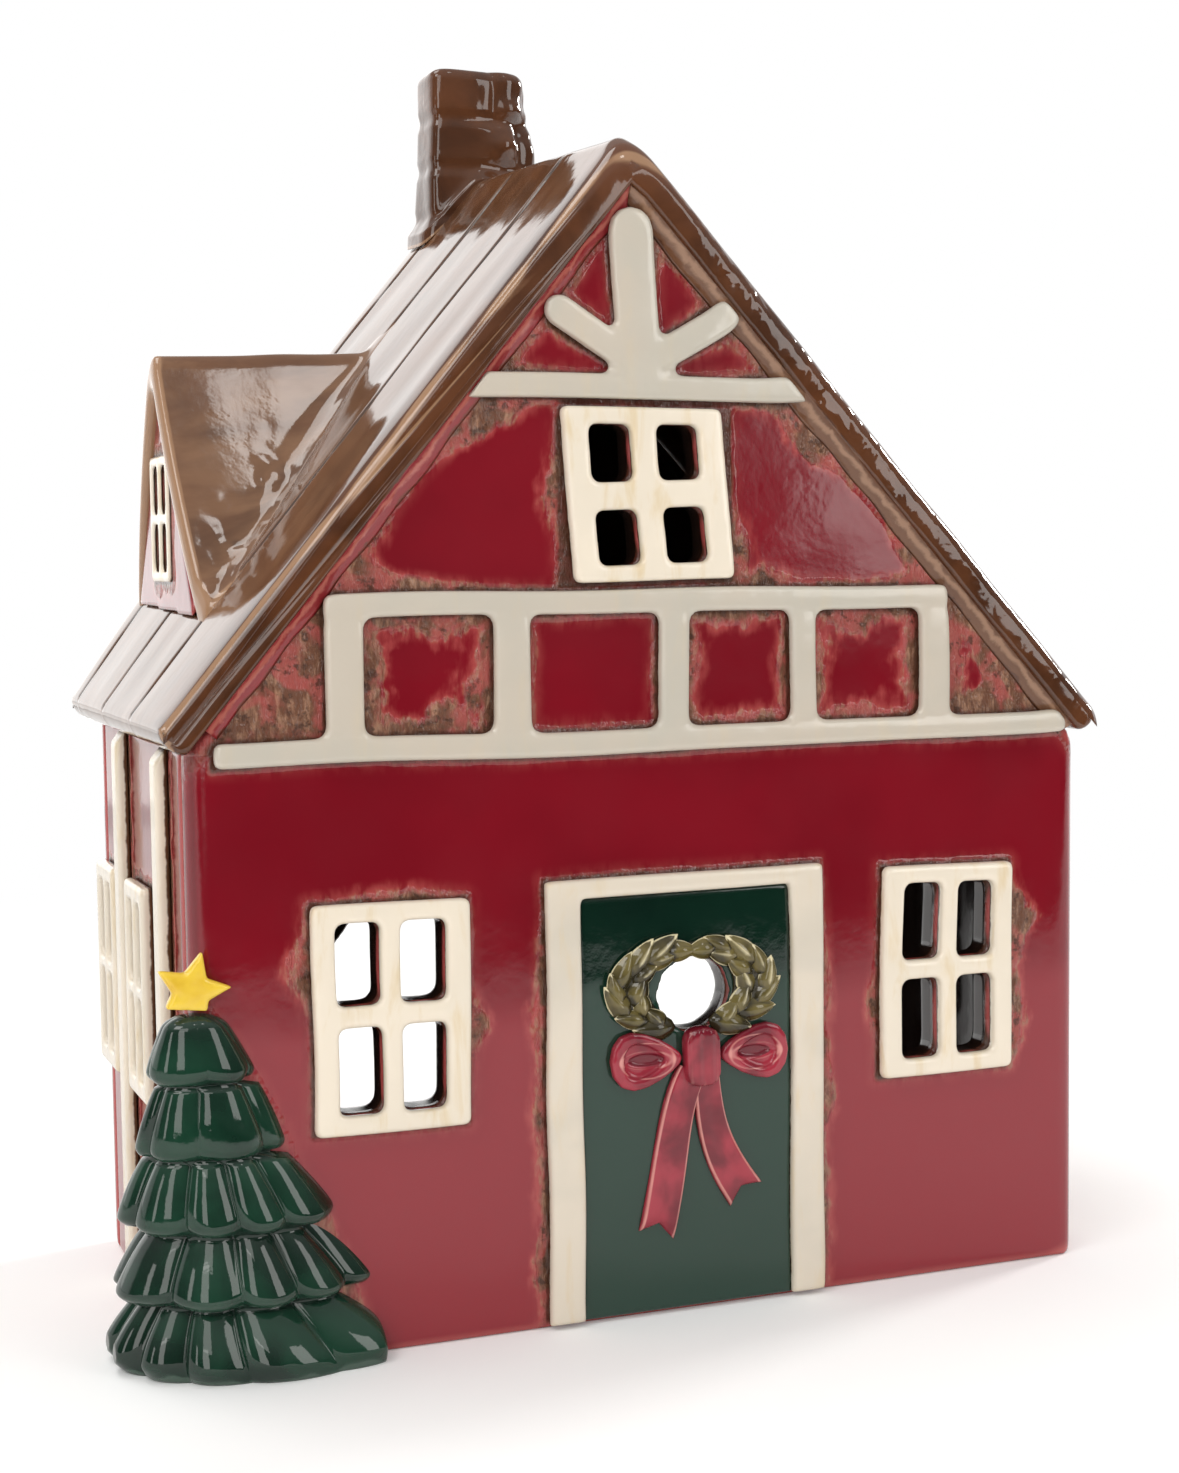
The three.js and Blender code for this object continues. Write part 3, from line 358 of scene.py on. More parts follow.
def makeRedGlaze():
    # Crimson that pools deep, turns pink where thin, and breaks to a brown and tan crust by the trim. It is
    # paler near its foot, a painted reflection of the table, darkened along the trims by pooled glaze and
    # painted contact shade, and dark inside, painted shade.
    # `rim` is the distance to the nearest trim, `crust` how far the crust reaches, both in millimetres.
    material = newGlaze("redGlaze")
    where = place()
    rim, crust, inner = (attribute(n) for n in ("rim", "crust", "inner"))
    crest = attribute("crest")
    pool = span(grain(where, 30, 3), 0.35, 0.65)
    colour = blend(pool, redGlaze["red"], redGlaze["deep"])
    # Paler towards the foot of the wall: a painted reflection of the white table in front.
    level = plus(axis(where, 2), times(grain(where, 25, 2), 0.008))
    colour = blend(span(level, 0.056, 0.049), colour, redGlaze["milk"])
    drawn = stretched(where, (1.0, 1.0, 0.35))
    broad = span(grain(where, 8, 3), 0.25, 0.75, 0.35, 1.5)
    lobes = minus(grain(drawn, 1.3, 4, 0.6), 0.5)
    reach = times(crust, broad)
    reach = plus(reach, times(lobes, calc("MINIMUM", crust, 2.8)))
    beyond = minus(rim, reach)
    haloShare = times(span(beyond, 2.3, 0.0), span(crust, 0.3, 1.5, 0.25, 0.9))
    haloShare = times(haloShare, span(grain(drawn, 1.7, 3), 0.34, 0.60, 0.2, 1.0))
    tipShare = times(span(beyond, 1.1, 0.0), span(grain(drawn, 0.9, 3), 0.44, 0.62))
    crustShare = span(beyond, 0.45, -0.7)
    speck = span(grain(drawn, 1.2, 5, 0.65, 0.3), 0.46, 0.72)
    crustColour = blend(speck, redGlaze["crustBrown"], redGlaze["crustTan"])
    pinker = span(grain(where, 6, 3, 0.5, 0.5), 0.44, 0.60)
    crustColour = blend(times(pinker, 0.7), crustColour, redGlaze["thin"])
    pit = span(grain(where, 2.0, 4, 0.6, 0.0, 40), 0.46, 0.34)
    crustColour = blend(times(pit, 0.8), crustColour, redGlaze["darkCrustAndShade"])
    colour = blend(haloShare, colour, redGlaze["thin"])
    colour = blend(times(tipShare, span(crust, 0.3, 1.2, 0.15, 0.7)), colour, redGlaze["crustTan"])
    colour = blend(crustShare, colour, crustColour)
    # A dark line along the trims, the verge and the tree: brown glaze pooled in the joint, with painted contact
    # shade.
    line = span(plus(rim, times(grain(where, 3, 3), 0.7)), 0.95, 0.45)
    colour = blend(times(line, 0.8), colour, redGlaze["darkCrustAndShade"])
    colour = blend(span(crest, 0.10, 0.22), colour, redGlaze["thin"])
    # Inner faces dark: painted shade inside the house.
    colour = blend(inner, colour, redGlaze["inside"])
    roughness = plus(times(crustShare, 0.10), span(grain(where, 12, 3), 0.3, 0.7, 0.08, 0.13))
    crumb = times(grain(drawn, 1.6, 4, 0.6), span(beyond, 0.6, -0.4))
    crumb = times(crumb, minus(1.0, inner))
    bumps = [(grain(where, 13, 1.5, 0.4), 0.16), (grain(where, 2.2, 2), 0.02), (crumb, 0.7)]
    finishGlaze(colour, roughness, bumps)
    return material


brownGlaze = {
    "brown": (0.120, 0.043, 0.018),
    "dark": (0.060, 0.022, 0.010),
    "thin": (0.36, 0.205, 0.115),
    "milk": (0.235, 0.120, 0.062),
    "line": (0.022, 0.011, 0.007),
}


def makeBrownGlaze():
    # Treacle brown, milky in streaks that run down the slope, tan on its edges, dark in its creases. On the roof
    # the tan edge colour draws a painted highlight line along the left verge.
    # `groove` is 1 along the scored lines; `milk`, `lump` and `calm` are how strong the streaks and the small
    # lumps are and how still the surface lies.
    material = newGlaze("brownGlaze")
    where = place()
    crest, groove, milk, lump, calm = (attribute(n) for n in ("crest", "groove", "milk", "lump", "calm"))
    drawn = stretched(where, (0.25, 1.0, 0.25))
    pool = span(grain(where, 13, 4, 0.5, 0.6), 0.32, 0.68)
    colour = blend(pool, brownGlaze["brown"], brownGlaze["dark"])
    streak = span(grain(drawn, 4.5, 4, 0.55, 0.3), 0.30, 0.66, 0.35, 1.0)
    colour = blend(times(streak, milk), colour, brownGlaze["milk"])
    edge = plus(crest, times(grain(where, 3, 4), 0.05))
    colour = blend(span(edge, 0.07, 0.16, 0.0, 0.9), colour, brownGlaze["thin"])
    colour = blend(span(crest, -0.04, -0.14), colour, brownGlaze["line"])
    dash = span(grain(where, 1.6, 4, 0.7), 0.36, 0.5, 0.35, 1.0)
    scored = times(groove, dash)
    colour = blend(scored, colour, brownGlaze["line"])
    roughness = span(grain(where, 9, 3), 0.3, 0.7, 0.05, 0.10)
    roughness = plus(roughness, times(scored, 0.3))
    wave = times(grain(drawn, 7, 2, 0.3), minus(1.0, calm))
    pebble = times(grain(where, 4.0, 1.5, 0.5, 0.5), lump)
    finishGlaze(colour, roughness, [(wave, 0.10), (grain(where, 1.8, 2), 0.015), (pebble, 0.4)], 1.58)
    return material


creamGlaze = {
    "cream": (0.84, 0.745, 0.61),
    "aged": (0.575, 0.51, 0.425),
    "grey": (0.52, 0.49, 0.42),
    "warm": (0.70, 0.53, 0.28),
    "line": (0.11, 0.050, 0.024),
}


def makeCreamGlaze():
    # Ivory, greyer in patches, amber along its edges, dark where it meets the wall: brown glaze pooled there,
    # with painted shade in the joint.
    # `foot` is the height above the wall in millimetres, `aged` how grey the piece is.
    material = newGlaze("creamGlaze")
    where = place()
    crest, foot, aged = attribute("crest"), attribute("foot"), attribute("aged")
    patch = span(grain(where, 22, 3, 0.5, 0.4), 0.38, 0.62)
    base = blend(aged, creamGlaze["cream"], creamGlaze["aged"])
    colour = blend(times(patch, plus(0.12, times(aged, 0.6))), base, creamGlaze["grey"])
    drawn = stretched(where, (1.0, 1.0, 0.22))
    streak = span(grain(drawn, 3.5, 4, 0.6, 0.5), 0.50, 0.72)
    streak = times(streak, minus(0.55, times(aged, 0.42)))
    colour = blend(streak, colour, creamGlaze["warm"])
    edge = plus(crest, times(grain(where, 2.5, 4), 0.10))
    colour = blend(span(edge, 0.15, 0.28, 0.0, 0.55), colour, creamGlaze["warm"])
    # Dark at the foot where the trim meets the wall: pooled brown glaze with painted shade in the joint.
    low = plus(foot, times(grain(where, 2.2, 4, 0.6), -0.9))
    colour = blend(span(low, 0.42, 0.08), colour, creamGlaze["line"])
    roughness = span(grain(where, 8, 3), 0.3, 0.7, 0.10, 0.20)
    finishGlaze(colour, roughness, [(grain(where, 6, 2, 0.45), 0.16), (grain(where, 1.5, 2), 0.012)])
    return material


def makeFilletGlaze(name, base, light, dark):
    # The run of glaze under a verge, streaked along its length: a light band along its middle, a painted
    # highlight, and dark where it meets the wall and the roof, painted contact shade.
    material = newGlaze(name)
    where = place()
    across = attribute("across")
    mottle = grain(where, 3.5, 4, 0.6, 0.6)
    shifted = plus(across, times(minus(mottle, 0.5), 0.7))
    colour = base
    # Light band in the middle: painted highlight; dark at both ends of the section: painted contact shade.
    for low, high, tone in ((0.35, 0.55, light), (0.62, 0.80, base), (0.16, 0.02, dark), (0.93, 1.05, dark)):
        colour = blend(span(shifted, low, high), colour, tone)
    roughness = span(mottle, 0.3, 0.7, 0.08, 0.16)
    finishGlaze(colour, roughness, [(grain(where, 4, 2), 0.25)])
    return material


def makePlainGlaze(name, base, deep, thin, crestLow, crestHigh, wavesize=6, rough=0.07, milk=None):
    # A single coloured glaze: deep in its creases, thin and pale along its edges, and if asked paler below 52
    # mm, a painted reflection of the table.
    material = newGlaze(name)
    where = place()
    crest = attribute("crest")
    pool = span(grain(where, wavesize * 1.6, 3, 0.5, 0.4), 0.35, 0.65)
    colour = blend(pool, base, deep)
    if milk:
        # Paler near the foot: a painted reflection of the table.
        level = plus(axis(where, 2), times(grain(where, 20, 2), 0.006))
        colour = blend(span(level, 0.057, 0.053), colour, milk)
    colour = blend(span(crest, -crestLow * 0.4, -crestHigh), colour, deep)
    edge = plus(crest, times(grain(where, 2, 4), crestLow * 0.5))
    colour = blend(span(edge, crestLow * 1.25, crestHigh * 1.25), colour, thin)
    roughness = span(grain(where, 6, 3), 0.3, 0.7, rough * 0.7, rough * 1.4)
    finishGlaze(colour, roughness, [(grain(where, wavesize, 2, 0.45), 0.18), (grain(where, 1.4, 2), 0.015)])
    return material


glazes = {
    "red": makeRedGlaze(),
    "brown": makeBrownGlaze(),
    "cream": makeCreamGlaze(),
    # Each fillet glaze: base, a painted highlight colour and a painted contact shade colour.
    "filletPink": makeFilletGlaze("filletPink", (0.26, 0.024, 0.028), (0.44, 0.12, 0.095), (0.15, 0.035, 0.022)),
    "filletTan": makeFilletGlaze("filletTan", (0.15, 0.066, 0.034), (0.32, 0.18, 0.11), (0.09, 0.036, 0.020)),
    # The door's last colour is its paler foot, a painted reflection of the table.
    "door": makePlainGlaze(
        "doorGreen", (0.004, 0.020, 0.012), (0.003, 0.014, 0.009), (0.03, 0.06, 0.045), 0.1, 0.3, 12, 0.06,
        (0.012, 0.040, 0.026),
    ),
    "fir": makePlainGlaze(
        "firGreen", (0.010, 0.044, 0.025), (0.005, 0.020, 0.012), (0.06, 0.10, 0.075), 0.10, 0.30, 8, 0.05,
    ),
    "olive": makePlainGlaze(
        "oliveGold", (0.165, 0.130, 0.042), (0.030, 0.024, 0.010), (0.78, 0.69, 0.44), 0.05, 0.12, 4, 0.08,
    ),
    "ribbon": makePlainGlaze(
        "ribbonRed", (0.36, 0.030, 0.050), (0.15, 0.010, 0.020), (0.66, 0.27, 0.24), 0.07, 0.18, 5, 0.08,
    ),
    "star": makePlainGlaze(
        "starYellow", (0.86, 0.60, 0.06), (0.72, 0.44, 0.03), (0.90, 0.70, 0.20), 0.1, 0.3, 5, 0.15,
    ),
}
print("glazes mixed")


# Distances on the front wall, in millimetres across and up.
def boxGap(x, z, low, high):
    # Distance to a rectangle, 0 inside it.
    dx = np.maximum(np.maximum(low[0] - x, x - high[0]), 0)
    dz = np.maximum(np.maximum(low[1] - z, z - high[1]), 0)
    return np.hypot(dx, dz)


def nodeGap(x, z, node, across="x"):
    low, high = (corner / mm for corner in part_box(node))
    return boxGap(x, z, (getattr(low, across), low.z), (getattr(high, across), high.z))


def stripGap(x, z, start, end, half):
    # Distance to a strip with rounded ends.
    ax, az = end[0] - start[0], end[1] - start[1]
    t = np.clip(((x - start[0]) * ax + (z - start[1]) * az) / (ax * ax + az * az), 0, 1)
    return np.maximum(np.hypot(x - start[0] - t * ax, z - start[1] - t * az) - half, 0)


sunburst = {
    "hub": (-3.5, 144.1), "post": (-4.6, 164.0), "rays": ((-16.2, 152.0), (10.6, 151.9)),
    "postHalf": 3.4, "rayHalf": 2.3, "barLow": (-33, 139.2), "barHigh": (25, 143),
}
lattice = ["lower_beam", "upper_beam"] + ["lattice_post_%d" % i for i in range(1, 6)]
sideTrim = ("window_front", "window_rear", "post_front", "post_rear")
treeEdge = {"up": [0, 12, 24, 36, 48, 58], "at": [-46.5, -50, -55, -59.5, -66, -73]}

# Where the red breaks to a wide brown crust: across, up, how far round, how wide the crust gets.
crustPlaces = [
    (-60, 58, 6, 2.2), (-28, 48, 4, 2.0), (-44, 70, 9, 1.2),
    (66, 56, 7, 4.5), (64, 40, 6, 3.5), (35, 45, 3, 1.5),
    (-20, 126, 5, 2.6), (-52, 113, 8, 6.0), (17, 116, 6, 2.0), (26, 136, 8, 5.0), (47, 114, 7, 5.0),
    (-30, 139, 7, 5.0), (-37, 99, 11, 3.6), (-62, 98, 10, 7.0), (12, 99, 9, 2.0), (34, 99, 9, 3.2),
    (60, 98, 10, 7.0), (-12, 99, 7, 0.6),
    (-18, 152, 6, 1.3), (10, 152, 6, 1.2), (0, 165, 7, 1.0), (-46, 14, 9, 1.4),
    (28, 30, 4, 1.6), (-21, 10, 4, 2.2), (60, 8, 9, 1.5),
]


def wallMarks(points):
    # For points in millimetres: distance to the nearest trim, and the reach of the crust there.
    x, y, z = points.T
    rim = np.full(len(x), 99.0)
    for node in ["window_left", "window_right", "attic_window", "door_frame"] + lattice:
        rim = np.minimum(rim, nodeGap(x, z, node))
    hub = sunburst["hub"]
    rim = np.minimum(rim, stripGap(x, z, hub, sunburst["post"], sunburst["postHalf"]))
    for tip in sunburst["rays"]:
        rim = np.minimum(rim, stripGap(x, z, hub, tip, sunburst["rayHalf"]))
    rim = np.minimum(rim, boxGap(x, z, sunburst["barLow"], sunburst["barHigh"]))
    steep = slopeAt(x)[1]
    under = (slopeUnder(x, np.full_like(x, house["vergeFront"])) - z) / np.hypot(1, steep)
    rim = np.minimum(rim, np.maximum(under - 2.6, 0) + 0.5)
    fromTree = np.maximum(x - np.interp(z, treeEdge["up"], treeEdge["at"]), 0)
    rim = np.minimum(rim, fromTree + np.maximum(z - 62, 0) + 0.6)
    crust = 0.35 + 0.9 * smooth(7, 2, nodeGap(x, z, "door_frame")) * smooth(66, 50, z)
    for px, pz, far, width in crustPlaces:
        storey = z > 89 if pz > 90 else z < 89
        crust += width * np.exp(-(((x - px) ** 2 + (z - pz) ** 2) / far ** 2)) * storey
    return rim, crust


def flat(points):
    # The same points seen along Y: patterns on them don't change through the slab.
    return points * (1, 0, 1)


wobble = {"amount": 0.28, "length": 34, "seed": 5}


def handShifted(points):
    # The whole front leans a little here and there, as a hand-cut slab does: less towards its outline.
    x, y, z = points.T
    hold = smooth(0, 9, np.minimum(x - house["leftX"], house["rightX"] - x)) * smooth(0, 7, z)
    hold *= smooth(0, 8, slopeTop(x, np.full_like(x, house["frontY"])) - 7 - z)
    out = points.copy()
    for axisIndex, seed in ((0, wobble["seed"]), (2, wobble["seed"] + 1)):
        out[:, axisIndex] += wobble["amount"] * hold * ripple(flat(points), wobble["length"], seed)
    return out


def addWalls():
    # The four slabs, softened, each a little wavy, with the distances that its glaze needs.
    for name, node, voxel in (
        ("frontWall", "front_wall", 0.75), ("backWall", "back_wall", 0.9),
        ("leftWall", "left_wall", 0.8), ("rightWall", "right_wall", 0.8),
    ):
        piece = softened(name, [node], voxel, 3)
        points = pointsOf(piece.data) / mm
        x, y, z = points.T
        depth = {
            "front_wall": y - house["frontY"], "back_wall": house["backY"] - y,
            "left_wall": x - house["leftX"], "right_wall": house["rightX"] - x,
        }[node]
        # How far a point lies inside the slab: its inner faces get painted shade in the red glaze.
        inner = smooth(0.9, 1.8, depth)
        rim, crust = np.full(len(x), 99.0), 0.3
        if node == "front_wall":
            rim, crust = wallMarks(points)
            points = handShifted(points)
        if node in ("front_wall", "back_wall"):
            inner = inner * smooth(0.3, 1.5, np.minimum(x - house["leftX"], house["rightX"] - x))
        else:
            for part in sideTrim:
                rim = np.minimum(rim, nodeGap(y, z, node + "_" + part, "y"))
            crust = 1.5
        mark(piece, rim=rim, crust=crust, inner=inner)
        putPoints(piece.data, points)
        dress(piece, "red", node)


addWalls()
print("walls glazed")


def addFrontTrim():
    # Frames and timbers, fused where they meet, their feet on the wall: nodes, voxel, rounds, web and age.
    sets = {
        "windowLeft": (["window_left"], 0.36, 2, 0.0, 0.0),
        "windowRight": (["window_right"], 0.36, 2, 0.0, 0.0),
        "atticWindow": (["attic_window"], 0.36, 2, 0.0, 0.0),
        "doorFrame": (["door_frame"], 0.40, 3, 0.0, 0.45),
        "gableLattice": (lattice, 0.42, 5, 0.6, 1.0),
        "gableSunburst": (["sunburst"], 0.36, 6, 0.5, 1.0),
    }
    for name, (nodes, voxel, rounds, web, aged) in sets.items():
        piece = softened(name, nodes, voxel, rounds, web)
        points = pointsOf(piece.data) / mm
        mark(piece, foot=house["frontY"] - points[:, 1], aged=aged)
        putPoints(piece.data, handShifted(points))
        dress(piece, "cream", *nodes)


addFrontTrim()
print("front trim glazed")


def addSideTrim():
    for side, turn, face in (("left", -1, house["leftX"]), ("right", 1, house["rightX"])):
        for part in sideTrim:
            node = side + "_wall_" + part
            piece = softened(side + "Side" + part.title().replace("_", ""), [node], 0.36, 2)
            mark(piece, foot=turn * (pointsOf(piece.data)[:, 0] / mm - face), aged=0.1)
            dress(piece, "cream", node)


addSideTrim()
print("side trim glazed")


def facesBetween(a, b):
    return np.stack([a, np.roll(a, -1, 1), np.roll(b, -1, 1), b], -1).reshape(-1, 4).tolist()


def closedSkin(rings):
    # Faces over rings of equal count, each ring closed on itself, with one face across the first and the last.
    index = np.arange(rings[..., 0].size).reshape(rings.shape[:2])
    ends = [index[0][::-1].tolist(), index[-1].tolist()]
    return rings.reshape(-1, 3), facesBetween(index[:-1], index[1:]) + ends


def closedTube(rings):
    # The same with the last ring joined to the first, for a body with a hole through it.
    index = np.arange(rings[..., 0].size).reshape(rings.shape[:2])
    return rings.reshape(-1, 3), facesBetween(index, np.roll(index, -1, 0))


def crestOf(piece):
    out = np.empty(len(piece.data.vertices), np.float32)
    piece.data.attributes["crest"].data.foreach_get("value", out)
    return out


def addSkin(name, points, faces, reach=5, weld=False):
    # A mesh from millimetres: open rims filled and doubles welded if asked, large caps cut into triangles,
    # faces outward, its edges marked.
    mesh = bpy.data.meshes.new(name)
    mesh.from_pydata((points * mm).tolist(), [], faces)
    if weld:
        mesh.validate()
    body = bmesh.new()
    body.from_mesh(mesh)
    if weld:
        bmesh.ops.holes_fill(body, edges=[e for e in body.edges if e.is_boundary])
        bmesh.ops.remove_doubles(body, verts=body.verts, dist=1e-6)
    bmesh.ops.triangulate(body, faces=[f for f in body.faces if len(f.verts) > 4])
    bmesh.ops.recalc_face_normals(body, faces=body.faces)
    body.to_mesh(mesh)
    body.free()
    mesh.shade_smooth()
    piece = linked(name, mesh)
    markCrest(piece, reach)
    return piece


def bezier(t, a, b, c, d):
    # A curve from a to d that leaves towards b and arrives from c.
    return (1 - t) ** 3 * a + 3 * (1 - t) ** 2 * t * b + 3 * (1 - t) * t ** 2 * c + t ** 3 * d


def bent(start, first, second, end, steps):
    # A Bezier curve between two rows of points, without its ends: one curve for each row.
    t = np.linspace(0, 1, steps + 2)[1:-1][None, :, None]
    return bezier(t, *(p[:, None, :] for p in (start, first, second, end)))


def quarterInset(size, edge):
    # How far a quarter circle of radius size draws in at a distance from the edge.
    return size - np.sqrt(np.maximum(size ** 2 - np.maximum(size - edge, 0) ** 2, 0))


def drawnIn(ring, middle, amount):
    # Each point moved towards its middle, never past it.
    away = ring - middle
    length = np.maximum(np.linalg.norm(away, axis=-1), 1e-6)
    return ring - away * np.minimum(amount / length, 1)[..., None]


roof = {
    "sagRight": 1.5, "noseLeft": 1.9, "noseRight": 3.3, "noseUnder": 1.0, "noseSteps": 9,
    "droop": 0.9, "droopReach": 6.5,
    "boardWidth": 23.5, "grooveHalf": 0.55, "grooveDeep": 0.75, "hump": 0.10, "streak": 0.030,
}


def roofRings():
    # A closed ring round both slopes - over them from the left eave to the right one, round the nose, back
    # underneath, round the other nose - carried from verge to verge. Near a verge the ring draws in to its
    # middle line, first slowly (the droop) and then along a quarter circle (the nose).
    front, back, ridgeX = house["vergeFront"], house["vergeBack"], house["ridgeX"]
    leftX, rightX = house["eaveLeft"][0], house["eaveRight"][0]
    nose = roof["noseRight"]
    grooves = np.arange(front + roof["boardWidth"], back - 6, roof["boardWidth"])
    even = np.linspace(front + nose, back - nose, 84)
    even = even[np.min(np.abs(even[:, None] - grooves), axis=1) > 1.7]
    cap = nose * (1 - np.cos(np.linspace(0, math.pi / 2, 12)))[:-1]
    fine = (grooves[:, None] + np.linspace(-1.6, 1.6, 11)).ravel()
    ys = np.unique(np.round(np.concatenate([front + cap, fine, even, back - cap]), 4))
    overX = np.concatenate([
        np.linspace(leftX + 1.7, ridgeX - 4, 112), np.linspace(ridgeX - 3.6, ridgeX + 3.6, 19),
        np.linspace(ridgeX + 4, rightX - 1.7, 112),
    ])
    x, y = np.meshgrid(overX, ys)
    z = slopeTop(x, y, np.interp(y, [front, front + 5], [house["softVerge"], house["softRidge"]]))
    skin = np.stack([x, y, z], -1)
    wander = 0.35 * ripple(flat(skin), 26, 61)
    gap = np.min(np.abs(y[..., None] + wander[..., None] - grooves), axis=-1)
    off = smooth(0, 4, np.abs(x - ridgeX))
    depth = roof["grooveDeep"] * (0.75 + 0.35 * ripple(skin, 9, 62))
    sink = depth * off * np.exp(-((gap / roof["grooveHalf"]) ** 2))
    hump = roof["hump"] * ripple(skin * (0.35, 1, 0.35), 17, 31)
    hump = hump + roof["streak"] * ripple(skin * (0.10, 1, 0.10), 5, 32)
    inner = smooth(0, 6, np.minimum(y - front, back - y)) * smooth(0, 5, np.minimum(x - leftX, rightX - x))
    sag = roof["sagRight"] * (y - front) / (back - front) * smooth(0, 14, x - ridgeX)
    over = np.stack([x, y, z - sink - 0.12 * inner + hump * inner * 0.9 - sag], -1)
    ux, uy = np.meshgrid(np.linspace(rightX - 5.4, leftX + 5.4, 61), ys)
    under = np.stack([ux, uy, slopeUnder(ux, uy)], -1)
    noses = []
    for side, eave in ((1, rightX), (-1, leftX)):
        edge = np.full_like(ys, eave)
        slant = math.atan(slopeAt(edge)[1][0])
        tip = np.stack([edge, ys, slopeTop(edge, ys, 0.01)], -1)
        foot = tip + house["roofThick"] * np.array([-side * math.sin(slant), 0, -math.cos(slant)])
        rows = [over[:, -1], tip, foot, under[:, 0]] if side > 0 else [under[:, -1], foot, tip, over[:, 0]]
        noses.append(bent(*rows, roof["noseSteps"]))
    ring = np.concatenate([over, noses[0], under, noses[1]], 1)
    count, steps = overX.size, roof["noseSteps"]
    below = count + steps
    middle = ring.copy()
    middle[:, :count, 2] = (over[..., 2] + slopeUnder(x, y)) / 2
    middle[:, below:-steps, 2] = (under[..., 2] + slopeTop(ux, uy)) / 2
    middle[:, count:below] = noses[0][:, [0, -1]].mean(1, keepdims=True)
    middle[:, -steps:] = noses[1][:, [0, -1]].mean(1, keepdims=True)
    size = np.interp(ring[..., 0], [ridgeX - 14, ridgeX + 14], [roof["noseLeft"], nose])
    size[:, count + 4:-4] = roof["noseUnder"]
    edge = np.minimum(ring[..., 1] - front, back - ring[..., 1])
    droop = roof["droop"] * np.maximum(1 - edge / roof["droopReach"], 0) ** 2.5
    droop[:, count:] = 0
    ring = drawnIn(ring, middle, quarterInset(size, edge) + droop)
    inward = np.sign(back + front - 2 * ring[..., 1]) * smooth(7, 0, edge)
    ring[..., 1] += inward * 0.22 * (1 + ripple(flat(ring), 19, 33))
    ring[..., 1] = np.minimum(ring[..., 1], back - 0.1)
    groove = np.zeros(ring.shape[:2])
    groove[:, :count] = smooth(0.85, 0.35, gap) * off
    return ring, groove


def addRoof():
    # One skin over both slopes, so that the ridge has no seam, as on the fired piece.
    ring, groove = roofRings()
    points, faces = closedSkin(ring)
    piece = addSkin("glazedRoof", points, faces)
    x, y, z = points.T
    fromVerge = y - house["vergeFront"]
    top = smooth(1.5, 3.5, z - slopeUnder(x, y))
    # A tan line along the rounded front edge of the left verge, carried in the crest attribute: a painted
    # highlight.
    line = np.exp(-(((fromVerge - 0.9) / 0.55) ** 2)) * top * smooth(8, -2, x)
    line = line * (0.75 + 0.3 * ripple(flat(points), 9, 34))
    verge = smooth(3.2, 1.6, fromVerge) * smooth(-2, 8, x)
    lump = 1.3 * verge * (0.5 + 0.5 * smooth(110, 150, z))
    milk = 0.45 * smooth(2, 9, fromVerge) * smooth(0.5, 1.5, z - slopeUnder(x, y))
    mark(piece, groove=groove.ravel(), crest=0.26 * line, lump=lump, milk=milk)
    dress(piece, "brown", "roof_slab_left", "roof_slab_right")


addRoof()
print("roof glazed")


fillet = {"foot": 2.3, "out": 2.0, "steps": 9, "uneven": 0.22}


def addVergeFillets():
    # A strip of glaze in the corner under each verge, from the eave to the peak: a hollow curve from the wall
    # up to the lower edge of the roof's face, carried along the underside and a little uneven in width.
    peak, steps = house["ridgeX"], fillet["steps"]
    sides = (
        ("vergeFilletLeft", "filletPink", house["eaveLeft"][0], -1, house["leftX"] + 2.5),
        ("vergeFilletRight", "filletTan", house["eaveRight"][0], 1, house["rightX"] - 2.5),
    )
    for name, glaze, eave, side, start in sides:
        x = np.linspace(start, peak, 220)
        away = np.abs(x - peak)
        steep = slopeAt(np.array([eave]))[1][0]
        slant = math.atan(steep)
        line = house["ridgeZ"] - steep * (away + house["roofThick"] / math.sin(slant))
        down = np.array([-side * math.sin(slant), 0, -math.cos(slant)])
        base = np.stack([x, np.zeros_like(x), line], -1)
        t = np.linspace(0, 1, steps)
        ends = smooth(0, 8, away) * smooth(0, 6, np.abs(x - start))
        uneven = fillet["uneven"] * 0.5 * ripple(base, 11, 71) * ends
        drop = fillet["foot"] * (1 + uneven[:, None]) * (1 - t) ** 1.35 - 0.3 * t
        reach = np.concatenate([fillet["out"] * t ** 1.35 + 0.02, [fillet["out"] - 0.3, -0.8]])
        drop = np.concatenate([drop, np.full((len(x), 2), -1.2)], 1)
        ring = base[:, None, :] + drop[..., None] * down
        ring[..., 1] = house["frontY"] - reach
        ring[..., 0] = np.minimum(ring[..., 0], peak) if side < 0 else np.maximum(ring[..., 0], peak)
        points, faces = closedSkin(ring)
        piece = addSkin(name, points, faces, 3)
        mark(piece, across=np.tile(np.concatenate([t, [1, 0]]), len(x)))
        dress(piece, glaze)


addVergeFillets()
print("verge fillets run in")


dormer = {
    "y": 10.0, "half": 27.0, "farHalf": 24.5, "face": -66.8, "eaveZ": 106.0, "rise": 44.5, "bow": 2.3,
    "climb": 1.2,
    "soft": 2.2, "valley": 6.5, "thick": 3.2, "nose": 1.5, "beyond": 6.0,
}


